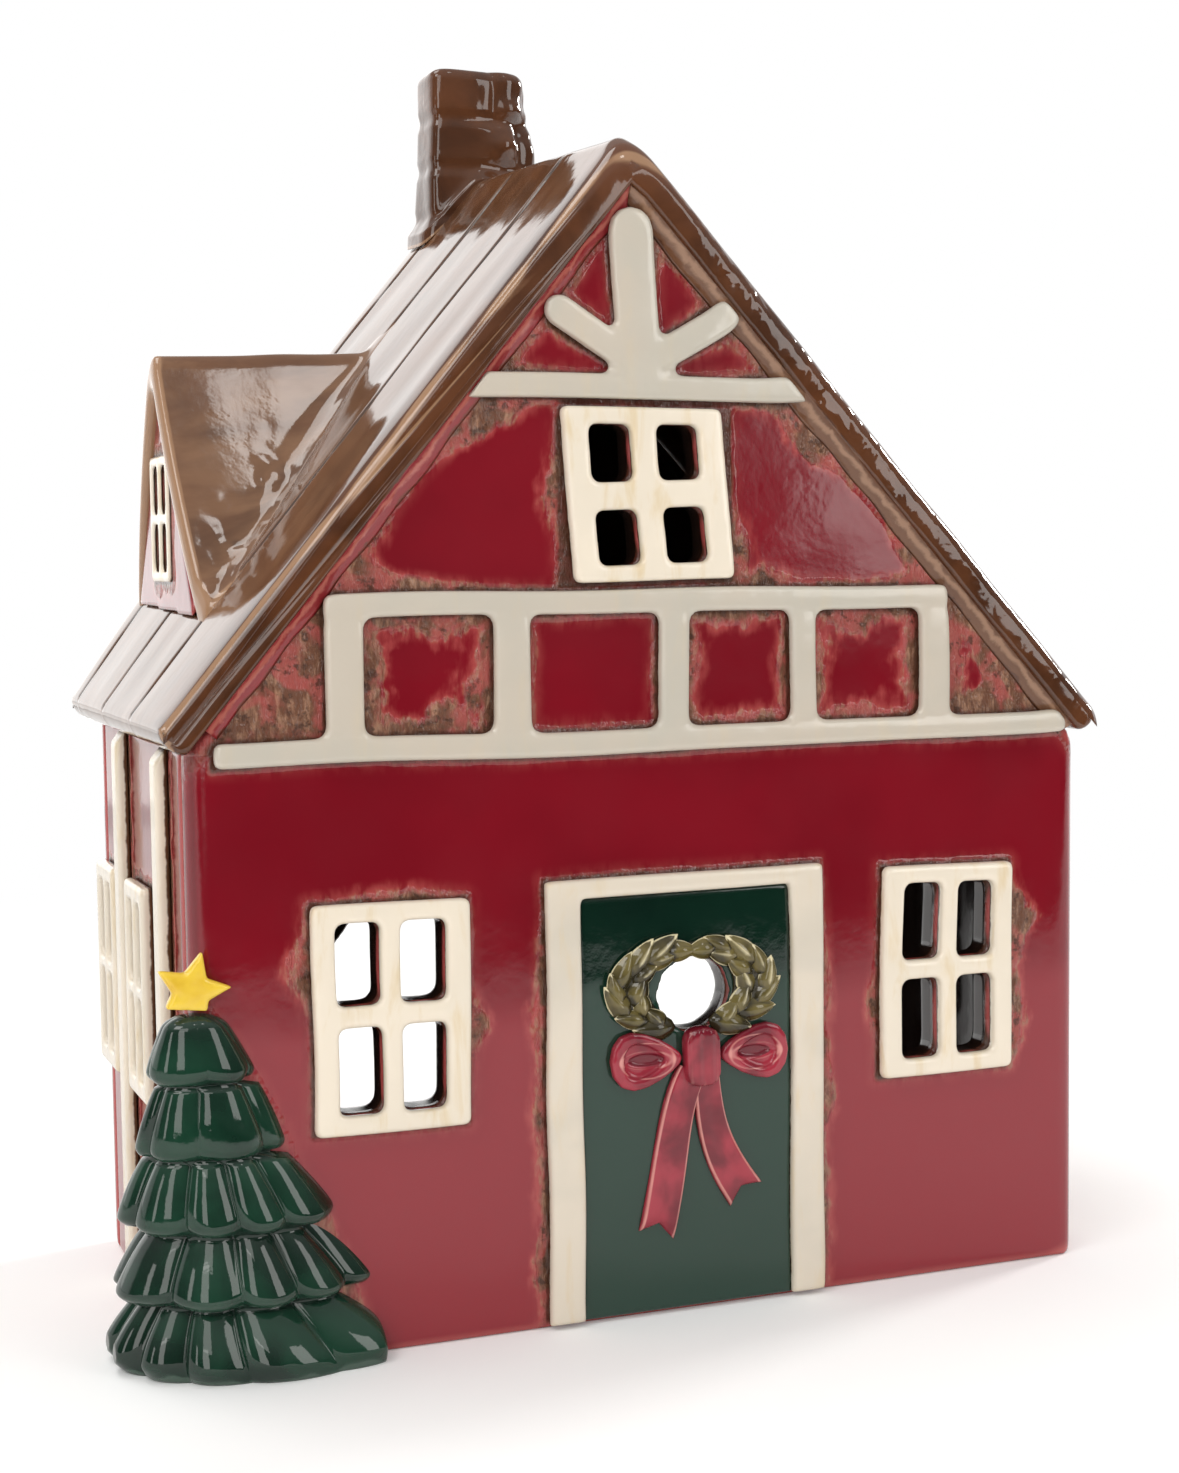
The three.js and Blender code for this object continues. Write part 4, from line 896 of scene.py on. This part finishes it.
def dormerRings():
    # One ring for each y across the dormer: along the top from its bowed front edge to the valley and a little
    # beyond, where the top is the soft maximum of the dormer's slope and the main one, and back underneath.
    steep = dormer["rise"] / dormer["half"]
    share = np.linspace(-1, 1, 170)
    share = np.sign(share) * np.abs(share) ** 1.15
    y = (dormer["y"] + np.where(share < 0, dormer["half"], dormer["farHalf"]) * share)[:, None]
    away = np.abs(y - dormer["y"])
    reach = 2 * dormer["soft"] / steep
    drop = np.where(away < reach, steep * (reach ** 2 + away ** 2) / (2 * reach), steep * away)
    own = dormer["eaveZ"] + dormer["rise"] - drop
    face = dormer["face"] + dormer["bow"] * (away / dormer["half"]) ** 2.3
    valley = np.full_like(y, -40.0)
    mainSteep = slopeAt(np.array([-40.0]))[1][0]
    for _ in range(4):
        valley = valley - (slopeTop(valley, y) - own) / mainSteep
    end = np.maximum(valley, face) + dormer["beyond"]
    t = np.linspace(0, 1, 150)[None, :]
    x = face + 1.0 + (end - face - 1.0) * t
    climb = dormer["climb"] * np.clip((x - dormer["face"]) / 37, 0, 1.2)
    main = slopeTop(x, y)
    top = own + climb
    blendOver = dormer["valley"] * (0.3 + 0.7 * smooth(1, 9, away))
    z = softMax(top, main - 0.5 * smooth(1.5, 6, main - top), blendOver)
    skin = np.stack([x, y + 0 * x, z], -1)
    nearValley = np.exp(-(((x - valley) / 7.0) ** 2)) * smooth(2, 8, away + 0 * x)
    patch = smooth(-0.2, 0.7, ripple(skin, 15, 45))
    hold = smooth(1, 7, end - x)
    patch = patch * smooth(142, 128, z)
    z = z + hold * (0.08 * ripple(skin, 16, 43) + 0.28 * nearValley * patch * ripple(skin, 3.4, 44))
    over = np.stack([x, y + 0 * x, z], -1)
    bottomT = np.linspace(1, 0, 24)[None, :]
    bx = face + 1.0 + (end - face - 1.0) * bottomT
    thick = dormer["thick"] * math.hypot(1, steep)
    bz = own - thick + 0 * bx
    under = np.stack([bx, y + 0 * bx, bz], -1)
    lip = np.array([-1.6, 0, 0])
    nose = bent(under[:, -1], under[:, -1] + lip, over[:, 0] + lip, over[:, 0], 9)
    ring = np.concatenate([over, under, nose], 1)
    edge = np.minimum(y - y.min(), y.max() - y)
    middle = ring.copy()
    count = over.shape[1]
    middle[:, :count, 2] = (over[..., 2] + own - thick) / 2
    middle[:, count:count + 24, 2] = own - thick / 2
    middle[:, count + 24:] = nose[:, [0, -1]].mean(1, keepdims=True) + np.array([1.5, 0, 0])
    return drawnIn(ring, middle, quarterInset(dormer["nose"], edge))


def addDormerRoof():
    rings = dormerRings()
    points, faces = closedSkin(rings)
    piece = addSkin("dormerRoof", points, faces, 6)
    x, y, z = points.T
    lump = 0.3 * smooth(7, 1, z - slopeTop(x, y)) * smooth(140, 128, z)
    mark(piece, groove=0, lump=lump, milk=1, calm=0.8)
    dress(piece, "brown", "dormer_roof_near", "dormer_roof_far")


addDormerRoof()


chimney = {
    "x": -4.7, "y": 33.3, "top": 200.0, "half": 9.2, "deep": 5.7, "flareRight": 5.4, "flareLeft": 0.9,
    "course": 8.4, "brick": 10.5, "joint": 1.2, "relief": 0.34, "lump": 1.2, "wall": 3.6, "rim": 1.9,
}


def chimneyRings():
    # A ring is a rounded rectangle, squarer on its left than on its right; rings go up the outside, over the rim
    # along a half circle and down the flue. Bricks are pillows between soft joints, bolder on the right.
    turn = np.linspace(0, 2 * math.pi, 1441)[:-1]
    a, b = chimney["half"], chimney["deep"]
    power = np.interp(np.cos(turn), [-0.3, 0.8], [6.0, 2.7])
    radius = (np.abs(np.cos(turn) / a) ** power + np.abs(np.sin(turn) / b) ** power) ** (-1 / power)
    px, py = radius * np.cos(turn), radius * np.sin(turn)
    steps = np.hypot(np.diff(np.append(px, px[0])), np.diff(np.append(py, py[0])))
    run = np.concatenate([[0], np.cumsum(steps)])
    around = np.linspace(0, run[-1], 221)[:-1]
    px, py = (np.interp(around, run, np.append(p, p[0])) for p in (px, py))
    cx, cy = chimney["x"], chimney["y"]
    foot = slopeTop(cx + px, cy + py) - 2.2
    up = np.linspace(0, 1, 120)[:, None]
    rim = chimney["rim"]
    z = foot + (chimney["top"] - rim - foot) * up
    low = np.clip((chimney["top"] - z) / 26, 0, 1.3) ** 1.6
    widen = np.where(px > 0, chimney["flareRight"], chimney["flareLeft"]) * np.abs(px) / a * low
    skirt = 1.3 * np.exp(-((z - foot - 2.2) / 1.4).clip(0) ** 1.2)
    nx, ny = px / np.hypot(px, py), py / np.hypot(px, py)
    x, y = cx + px + np.sign(px) * widen + nx * skirt, cy + py + ny * skirt
    row = np.floor((chimney["top"] - z) / chimney["course"])
    dz = np.abs((chimney["top"] - z) / chimney["course"] - row - 0.5) * chimney["course"]
    shift = (row % 2) * chimney["brick"] / 2
    du = np.abs((around[None, :] + shift) / chimney["brick"] % 1 - 0.5) * chimney["brick"]
    bold = smooth(-1.5, 4.5, px)[None, :] + 0 * z
    upright = 1 - (1 - smooth(0, chimney["joint"] * 1.8, chimney["brick"] / 2 - du)) * bold
    inBrick = smooth(0, chimney["joint"] * 1.6, chimney["course"] / 2 - dz) * upright
    pillow = np.cos(dz / chimney["course"] * 2.6) * np.cos(du / chimney["brick"] * 2.6)
    spot = np.stack([x, y, z], -1)
    relief = (inBrick - 1) * chimney["relief"] * (1 + 0.6 * bold) + bold * chimney["lump"] * 0.5 * (pillow - 1)
    relief = relief + 0.62 * bold * ripple(spot, 6.2, 51) + 0.10 * ripple(spot, 11, 52) - 0.2
    x, y = x + nx * relief, np.minimum(y + ny * relief, 39.4)
    outer = np.stack([x, y, z], -1)
    half = np.linspace(0, math.pi, 13)[1:][:, None]
    wall = chimney["wall"] / 2
    ox, oy = x[-1], y[-1]
    ex, ey = ox - nx * wall * (1 - np.cos(half)), oy - ny * wall * (1 - np.cos(half))
    over = np.stack([ex, ey, chimney["top"] - rim + rim * np.sin(half) * 0.97 + 0 * ex], -1)
    downTo = np.linspace(0, 1, 12)[1:][:, None]
    ix, iy = ex[-1] + 0 * downTo, ey[-1] + 0 * downTo
    inner = np.stack([ix, iy, over[-1, :, 2] + (slopeTop(ix, iy) - 0.8 - over[-1, :, 2]) * downTo], -1)
    return np.concatenate([outer, over, inner], 0)


def addChimney():
    points, faces = closedTube(chimneyRings())
    piece = addSkin("brickChimney", points, faces, 5)
    x = points[:, 0]
    lump = 0.08 * smooth(-4, 2, x) + 0.45 * smooth(-11.5, -13.5, x)
    mark(piece, groove=0, crest=0.25 * crestOf(piece), lump=lump, milk=0.05)
    dress(piece, "brown", "chimney")


addChimney()


def addDormerFace():
    piece = softened("dormerGable", ["dormer_gable"], 0.5, 3)
    x, y, z = (pointsOf(piece.data) / mm).T
    # Inner faces of the dormer gable get painted shade.
    inner = smooth(0.9, 1.8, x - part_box("dormer_gable")[0].x / mm)
    mark(piece, rim=nodeGap(y, z, "dormer_window", "y"), crust=1.6, inner=inner)
    dress(piece, "red", "dormer_gable")
    window = softened("dormerWindow", ["dormer_window"], 0.25, 1)
    mark(window, foot=1, aged=0)
    dress(window, "cream", "dormer_window")


addDormerFace()
print("dormer and chimney glazed")


def addDoor():
    leaf = softened("doorLeaf", ["door_leaf"], 0.40, 1)
    putPoints(leaf.data, handShifted(pointsOf(leaf.data) / mm))
    dress(leaf, "door", "door_leaf")


addDoor()


bow = {"eyeDeep": 0.45, "eye": (0.50, 0.22), "turn": (0.76, 0.60)}


def addBow():
    # Ribbon pressed on the door: in each loop the eye lies deeper and is painted darker, painted shade in the
    # hollow, with painted highlight lines round it and along the loop's turn.
    for name, node in (
        ("bowLoopLeft", "bow_loop_left"), ("bowLoopRight", "bow_loop_right"), ("bowKnot", "bow_knot"),
    ):
        piece = softened(name, [node], 0.2, 9)
        points = pointsOf(piece.data) / mm
        normal = pointsOf(piece.data, "normal")
        low, high = (np.array(corner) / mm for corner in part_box(node))
        middle, half = (low + high) / 2, (high - low) / 2
        crest = crestOf(piece)
        front = smooth(0.2, -0.6, normal[:, 1])
        if "Loop" in name:
            gone = (points - middle) / half
            out = np.hypot(gone[:, 0] / bow["eye"][0], gone[:, 2] / bow["eye"][1])
            ring = np.hypot(gone[:, 0] / bow["turn"][0], gone[:, 2] / bow["turn"][1])
            # The eye darkened: painted shade; the rims lightened: painted highlights.
            eye = smooth(1.1, 0.7, out) * front
            rims = np.exp(-(((out - 1.35) / 0.22) ** 2)) + np.exp(-(((ring - 1.0) / 0.07) ** 2))
            crest = crest - 0.5 * eye + 0.13 * rims * front
            points[:, 1] += bow["eyeDeep"] * eye
        else:
            pleat = np.cos((points[:, 0] - middle[0]) * 3.1)
            points[:, 1] += 0.14 * (pleat - 1) * front
            crest = crest + 0.07 * pleat * front
        mark(piece, crest=crest)
        putPoints(piece.data, handShifted(points))
        dress(piece, "ribbon", node)


addBow()


# Each ribbon tail: its node, the corners of its curve and its width at both ends.
tails = {
    "bowTailLeft": ("bow_tail_left", ((3.6, 37.6), (0.2, 32.0), (0.2, 24.0), (-2.2, 12.8)), (4.6, 6.2)),
    "bowTailRight": ("bow_tail_right", ((6.0, 37.4), (6.0, 28.5), (8.2, 23.5), (13.0, 17.2)), (3.8, 6.2)),
}


def addTails():
    # A ribbon carried along a Bezier curve: its edges stand up a little and its end has a notch cut in it.
    for name, (node, path, wide) in tails.items():
        t = np.linspace(0, 1, 56)[:, None]
        spine = bezier(t, *(np.array(corner, float) for corner in path))
        along = np.gradient(spine, axis=0)
        along /= np.linalg.norm(along, axis=1)[:, None]
        over = np.stack([-along[:, 1], along[:, 0]], 1)
        turn = np.linspace(0, 2 * math.pi, 33)[:-1][None, :]
        across = np.sign(np.cos(turn)) * np.abs(np.cos(turn)) ** 0.75
        half = (wide[0] + (wide[1] - wide[0]) * t ** 0.7) / 2
        notch = 1.9 * t ** 14 * (1 - np.abs(across)) - 0.9 * t ** 14 * across * 0.4
        x = spine[:, :1] + over[:, :1] * half * across - along[:, :1] * notch
        z = spine[:, 1:] + over[:, 1:] * half * across - along[:, 1:] * notch
        pleat = 0.28 * np.exp(-(((across - 0.1) / 0.16) ** 2))
        lift = 0.95 + 0.35 * np.abs(across) ** 6 - pleat + 0.15 * np.sin(t * 9 + across)
        lift = lift * np.sqrt(np.maximum(1 - np.abs(across) ** 9, 0.02)) * (1 - 0.75 * t ** 40)
        high = np.where(np.sin(turn) > 0, lift + 0.25 * (1 - t) ** 6, -0.25)
        points, faces = closedSkin(np.stack([x, house["frontY"] - 0.9 - high, z], -1))
        piece = addSkin(name, handShifted(points), faces, 2)
        rims = np.exp(-(((np.abs(across) - 0.9) / 0.10) ** 2)) * 0.22 + 0 * t
        fold = 0.10 * np.exp(-(((across + 0.05) / 0.07) ** 2))
        mark(piece, crest=(rims + fold).ravel() - 0.02)
        dress(piece, "ribbon", node)


addTails()


wreath = {
    "middle": (3.9, 50.4), "outer": (12.4, 6.7), "inner": (8.8, 6.1), "leaf": (6.6, 5.2), "wide": 1.7,
    "high": 1.5,
    "splay": (22, -16), "perSide": (7, 6), "from": -60, "sweep": 148, "band": (10.2, 6.2, 3.4, 0.9, 0.5),
}


def leafGrid():
    # One leaf of length 1: half width sin(pi s^0.75)^0.8 across, a ridge along its middle, flat underneath.
    # Its tones: light on its edges, its ridge and its tip, dark at its root.
    s = np.linspace(0, 1, 13)[:, None]
    turn = np.linspace(0, 2 * math.pi, 13)[:-1][None, :]
    half = np.sin(math.pi * s ** 0.75).clip(0) ** 0.8 + 0.02
    ridge = (1 - np.abs(np.cos(turn)) ** 1.3) * half ** 0.6
    up = np.where(np.sin(turn) > 0, ridge, -0.35 * np.abs(np.sin(turn)) * half)
    tone = 0.30 * np.abs(np.cos(turn)) ** 10 * smooth(0.15, 0.5, s) + 0.22 * smooth(0.86, 1, s)
    tone = tone - 0.24 * smooth(0.42, 0.0, s) + 0.10 * np.exp(-(((turn - math.pi / 2) / 0.3) ** 2)) - 0.06
    return s + 0 * half * turn, half * np.cos(turn), up * (0.6 + 0.4 * np.sin(math.pi * s)), tone


def addWreath():
    # Leaves climb both sides of a flat clay ring in two rows, each a copy of one leaf turned along the ring.
    door = house["frontY"] - 0.9
    along, across, up, leafTone = leafGrid()
    rng = np.random.default_rng(12)
    shells, tones = [], []
    for side in (-1, 1):
        for row, (a, b) in enumerate((wreath["outer"], wreath["inner"])):
            splay, length, count = (wreath[key][row] for key in ("splay", "leaf", "perSide"))
            for i in range(count):
                angle = wreath["from"] + (i + 0.5 * row) * wreath["sweep"] / count
                turn = math.radians(angle + rng.uniform(-3, 3))
                grow = 1.0 + rng.uniform(-0.12, 0.12)
                heading = math.atan2(b * math.cos(turn), -a * math.sin(turn))
                heading -= math.radians(splay + rng.uniform(-9, 9))
                ahead, over = math.cos(heading), math.sin(heading)
                s = (along - 0.45) * length * grow
                w = across * wreath["wide"] * grow
                x = a * math.cos(turn) + s * ahead - w * over
                z = b * math.sin(turn) + s * over + w * ahead
                tilt = 0.35 + 0.5 * along + 0.12 * (i % 2)
                y = door - tilt - up * wreath["high"]
                shell = np.stack([wreath["middle"][0] + side * x, y, wreath["middle"][1] + z], -1)
                shells.append(closedSkin(shell))
                tones.append((leafTone + rng.uniform(-0.05, 0.05)).ravel())
    around = np.linspace(0, 2 * math.pi, 97)[:-1][:, None]
    tube = np.linspace(0, 2 * math.pi, 13)[:-1][None, :]
    a, b, wideX, wideZ, high = wreath["band"]
    here = 0.06 + 0.94 * smooth(0.35, 0.85, np.abs((around - 0.5 * math.pi) % (2 * math.pi) - math.pi))
    x = wreath["middle"][0] + (a + here * wideX * np.cos(tube)) * np.cos(around)
    z = wreath["middle"][1] + (b + here * wideZ * np.cos(tube)) * np.sin(around)
    y = door - 0.35 * here - here * high * np.sin(tube) + 0 * around
    shells.append(closedTube(np.stack([x, y, z], -1)))
    tones.append(np.full(x.size, -0.15))
    points, faces = np.zeros((0, 3)), []
    for spots, quads in shells:
        faces += [[len(points) + k for k in quad] for quad in quads]
        points = np.concatenate([points, spots])
    piece = addSkin("leafWreath", handShifted(points), faces, 2)
    mark(piece, crest=np.concatenate(tones) + 0.12 * crestOf(piece))
    dress(piece, "olive", "wreath")


addWreath()
print("door, wreath and bow glazed")


tree = {
    "tiers": 5, "height": 53.3, "base": (-60.9, -26.0), "tip": (-72.4, -36.6), "radius": (22.0, 17.5),
    "taper": 0.74, "waist": 0.66, "topWidth": 0.19, "lobes": (14, 11, 10, 7, 5),
    "crease": 0.085, "fullness": 0.72,
    "sag": 0.9, "twist": 1.1, "around": 400, "rows": 28, "girth": (3.0, 1.0, 1.3, -1.3, -1.2),
    "move": (2.6, 0.0, 0.3, -1.2, -0.6), "starLean": 8, "starGrow": 1.04,
}


def firPoints():
    # Rings round the tree: in each tier the width swells from a tucked-in foot to a round rim and then draws in
    # to the waist; the lobes are the absolute value of a sine round the ring.
    turn = np.linspace(0, 2 * math.pi, tree["around"], endpoint=False)
    tall = tree["height"] / tree["tiers"]
    rings = []
    for tier in range(tree["tiers"]):
        low = tier * tall / tree["height"]
        high = low + tall / tree["height"]
        rim = 1 - low * tree["taper"]
        last = tier == tree["tiers"] - 1
        waist = (1 - high * tree["taper"]) * tree["waist"] + (1 - tree["waist"]) / 3
        waist = tree["topWidth"] if last else waist
        swung = turn + 0.13 * np.sin(2 * turn + 1.9 * tier) + 0.07 * np.sin(3 * turn - tier)
        wave = np.abs(np.sin(tree["lobes"][tier] * swung / 2 + tier * tree["twist"])) ** tree["fullness"]
        for up in np.linspace(0, 0.95, tree["rows"]):
            tuck = 0.5 * (1 - np.sin(math.pi / 2 * min(up / 0.22, 1))) * (1 if tier else 0.25)
            draw = (max(up - 0.22, 0) / 0.73) ** 1.25
            width = rim + (waist - rim) * max(tuck, draw)
            swell = smooth(0, 0.25, up) * (0.8 + 0.7 * up)
            r = width * (1 - tree["crease"] * (0.6 if last else 1) * (0.6 + swell * 0.7) * (1 - wave))
            sag = tree["sag"] * wave * smooth(0, 0.12, up) * (1 - smooth(0.3, 0.9, up)) * (1 if tier else 0)
            share = low + (high - low) * up
            cx, cy = (tree["base"][i] + (tree["tip"][i] - tree["base"][i]) * share for i in (0, 1))
            if last:
                r = r * math.sqrt(1 - max((up - 0.78) / 0.172, 0) ** 2 * 0.93)
            wide = tree["radius"][0] + tree["girth"][tier] / rim
            deep = tree["radius"][1] + min(tree["girth"][tier], 0) / rim
            x = cx + tree["move"][tier] * (1 - up) + r * wide * np.cos(turn)
            rings.append(np.stack([x, cy + r * deep * np.sin(turn), (tier + up) * tall - sag], 1))
    return np.array(rings)


def addFirTree():
    # The rings, flattened where they would enter the walls and softly held inside the box of the solid tree.
    rings = firPoints()
    low, high = (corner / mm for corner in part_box("fir_tree"))
    hull = rings.reshape(-1, 3)
    x, y = hull[:, 0], hull[:, 1]
    wallX, wallY = house["leftX"] + 0.8, house["frontY"] + 0.8
    inside = (x > wallX) & (y > wallY)
    toSide = inside & (x - wallX < y - wallY)
    x[toSide] = wallX
    y[inside & ~toSide] = wallY
    x[:] = high.x - 0.8 * np.log1p(np.exp((high.x - x) / 0.8))
    hull[:] = np.clip(hull, [low.x + 0.1, low.y + 0.1, 0], [high.x, high.y, high.z])
    points, faces = closedSkin(hull.reshape(rings.shape))
    dress(addSkin("firTree", points, faces[:-2], 6, weld=True), "fir", "fir_tree")


def addTreeStar():
    star = softened("treeStar", ["tree_star"], 0.2, 7)
    points = pointsOf(star.data) / mm
    middle = (points.max(0) + points.min(0)) / 2
    lean = math.radians(tree["starLean"])
    x, _, z = ((points - middle) * tree["starGrow"]).T
    points[:, 0] = middle[0] + x * math.cos(lean) + z * math.sin(lean)
    points[:, 2] = middle[2] - x * math.sin(lean) + z * math.cos(lean) * (1 - 0.006 * x)
    putPoints(star.data, points)
    dress(star, "star", "tree_star")


addFirTree()
addTreeStar()
print("fir tree glazed")


def addFloorSlab():
    material = newGlaze("bareClay")
    where = place()
    colour = blend(grain(where, 8, 4), (0.05, 0.022, 0.012), (0.09, 0.045, 0.026))
    rough = span(grain(where, 5, 3), 0.3, 0.7, 0.35, 0.6)
    finishGlaze(colour, rough, [(grain(where, 2, 4), 0.1)])
    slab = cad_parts["floor_slab"].data
    slab.materials.clear()
    slab.materials.append(material)


addFloorSlab()


studio = {
    "ground": 0.93, "groundLift": 0.10, "side": 0.42, "horizon": 0.08, "top": 0.50,
    "edgeFar": -0.36, "edgeNear": -0.27, "fadeFrom": 0.20, "fadeTo": 0.46, "half": 2.0, "dim": 0.012,
}


def addFloor():
    # A white table that fades to plain white away from the house. Seen in the glaze it ends about 0.3 m in
    # front of the door, as the photo's does.
    half = studio["half"]
    mesh = bpy.data.meshes.new("table")
    corners = [(-half, -half, 0), (half, -half, 0), (half, half, 0), (-half, half, 0)]
    mesh.from_pydata(corners, [], [(0, 1, 2, 3)])
    mesh.materials.append(newGlaze("tableWhite"))
    where = place()
    ray = addNode("ShaderNodeLightPath").outputs
    matt = addNode("ShaderNodeBsdfDiffuse", Color=(studio["ground"],) * 3 + (1,)).outputs[0]
    dim = addNode("ShaderNodeBsdfDiffuse", Color=(studio["dim"],) * 3 + (1,)).outputs[0]
    far = times(ray["Is Glossy Ray"], minus(1.0, span(axis(where, 1), studio["edgeFar"], studio["edgeNear"])))
    shade = addNode("ShaderNodeMixShader", at0=far, at1=matt, at2=dim).outputs[0]
    lift = times(ray["Is Camera Ray"], studio["groundLift"])
    glow = addNode("ShaderNodeEmission", Color=white, Strength=lift).outputs[0]
    both = addNode("ShaderNodeAddShader", at0=shade, at1=glow).outputs[0]
    away = addNode("ShaderNodeVectorMath", {"operation": "LENGTH"}, at0=where).outputs[1]
    gone = times(span(away, studio["fadeFrom"], studio["fadeTo"]), ray["Is Camera Ray"])
    plain = addNode("ShaderNodeEmission", Color=white).outputs[0]
    shown = addNode("ShaderNodeMixShader", at0=gone, at1=both, at2=plain).outputs[0]
    addNode("ShaderNodeOutputMaterial", Surface=shown)
    linked("table", mesh)


addFloor()


def addSky():
    # White to the camera; for light and reflections a studio: white behind, dim in front, soft above.
    world = bpy.data.worlds.new("studio")
    bpy.context.scene.world = world
    layOut(world)
    heading = addNode("ShaderNodeTexCoord").outputs["Generated"]
    ray = addNode("ShaderNodeLightPath").outputs
    behind = times(span(axis(heading, 1), 0.14, 0.32), span(axis(heading, 2), 0.62, 0.45))
    above = span(axis(heading, 2), 0.05, 0.8, studio["horizon"], studio["top"])
    strength = calc("MAXIMUM", studio["side"], above)
    isSeen = calc("MAXIMUM", ray["Is Camera Ray"], ray["Is Transmission Ray"])
    for share, value in ((ray["Is Glossy Ray"], calc("MAXIMUM", above, behind)), (isSeen, 1.0)):
        mix = addNode("ShaderNodeMix", {"data_type": "FLOAT"}, at0=share, at2=strength, at3=value)
        strength = mix.outputs[0]
    back = addNode("ShaderNodeBackground", Color=white, Strength=strength)
    addNode("ShaderNodeOutputWorld", Surface=back.outputs[0])


addSky()

# Softboxes: where they stand, their width and height, and how bright their faces are.
softboxes = {
    "behindLeft": {"at": (-0.30, 0.66, 0.315), "size": (0.95, 0.61), "bright": 0.80},
    "frontLeft": {"at": (-0.62, -0.95, 0.24), "size": (0.32, 0.50), "bright": 2.9},
    "glint": {"at": (0.21, -0.43, 1.12), "size": (0.10, 0.12), "bright": 6.0},
    "farLeft": {"at": (-1.0, -0.42, 0.18), "size": (0.16, 0.42), "bright": 3.0},
    "keyRight": {"at": (0.66, -0.86, 0.40), "size": (0.42, 0.62), "bright": 3.0},
    "upperLeft": {"at": (-0.66, -0.42, 0.86), "size": (0.42, 0.42), "bright": 4.5},
    "overhead": {"at": (-0.30, 0.20, 1.0), "size": (0.50, 0.42), "bright": 4.0},
    "sideRight": {"at": (0.92, 0.26, 0.46), "size": (0.18, 0.20), "bright": 42.0},
    "fillFront": {"at": (-0.55, -1.05, 0.75), "size": (0.6, 0.5), "bright": 2.4},
}


def addSoftboxes():
    # A face of brightness b and area a gives pi * a * b watts.
    aim = Vector((0, 0, 0.1))
    for name, box in softboxes.items():
        data = bpy.data.lights.new(name, "AREA")
        data.shape = "RECTANGLE"
        data.size, data.size_y = box["size"]
        data.energy = math.pi * data.size * data.size_y * box["bright"]
        data.color = (1.0, 0.987, 0.96)
        lamp = linked(name, data)
        lamp.location = box["at"]
        goal = Vector((box["at"][0], 0, box["at"][2])) if name == "behindLeft" else aim
        lamp.rotation_euler = (goal - Vector(box["at"])).to_track_quat("-Z", "Y").to_euler()
        lamp.visible_camera = False


addSoftboxes()
bpy.context.scene.view_settings.view_transform = "Standard"
print("studio lit")
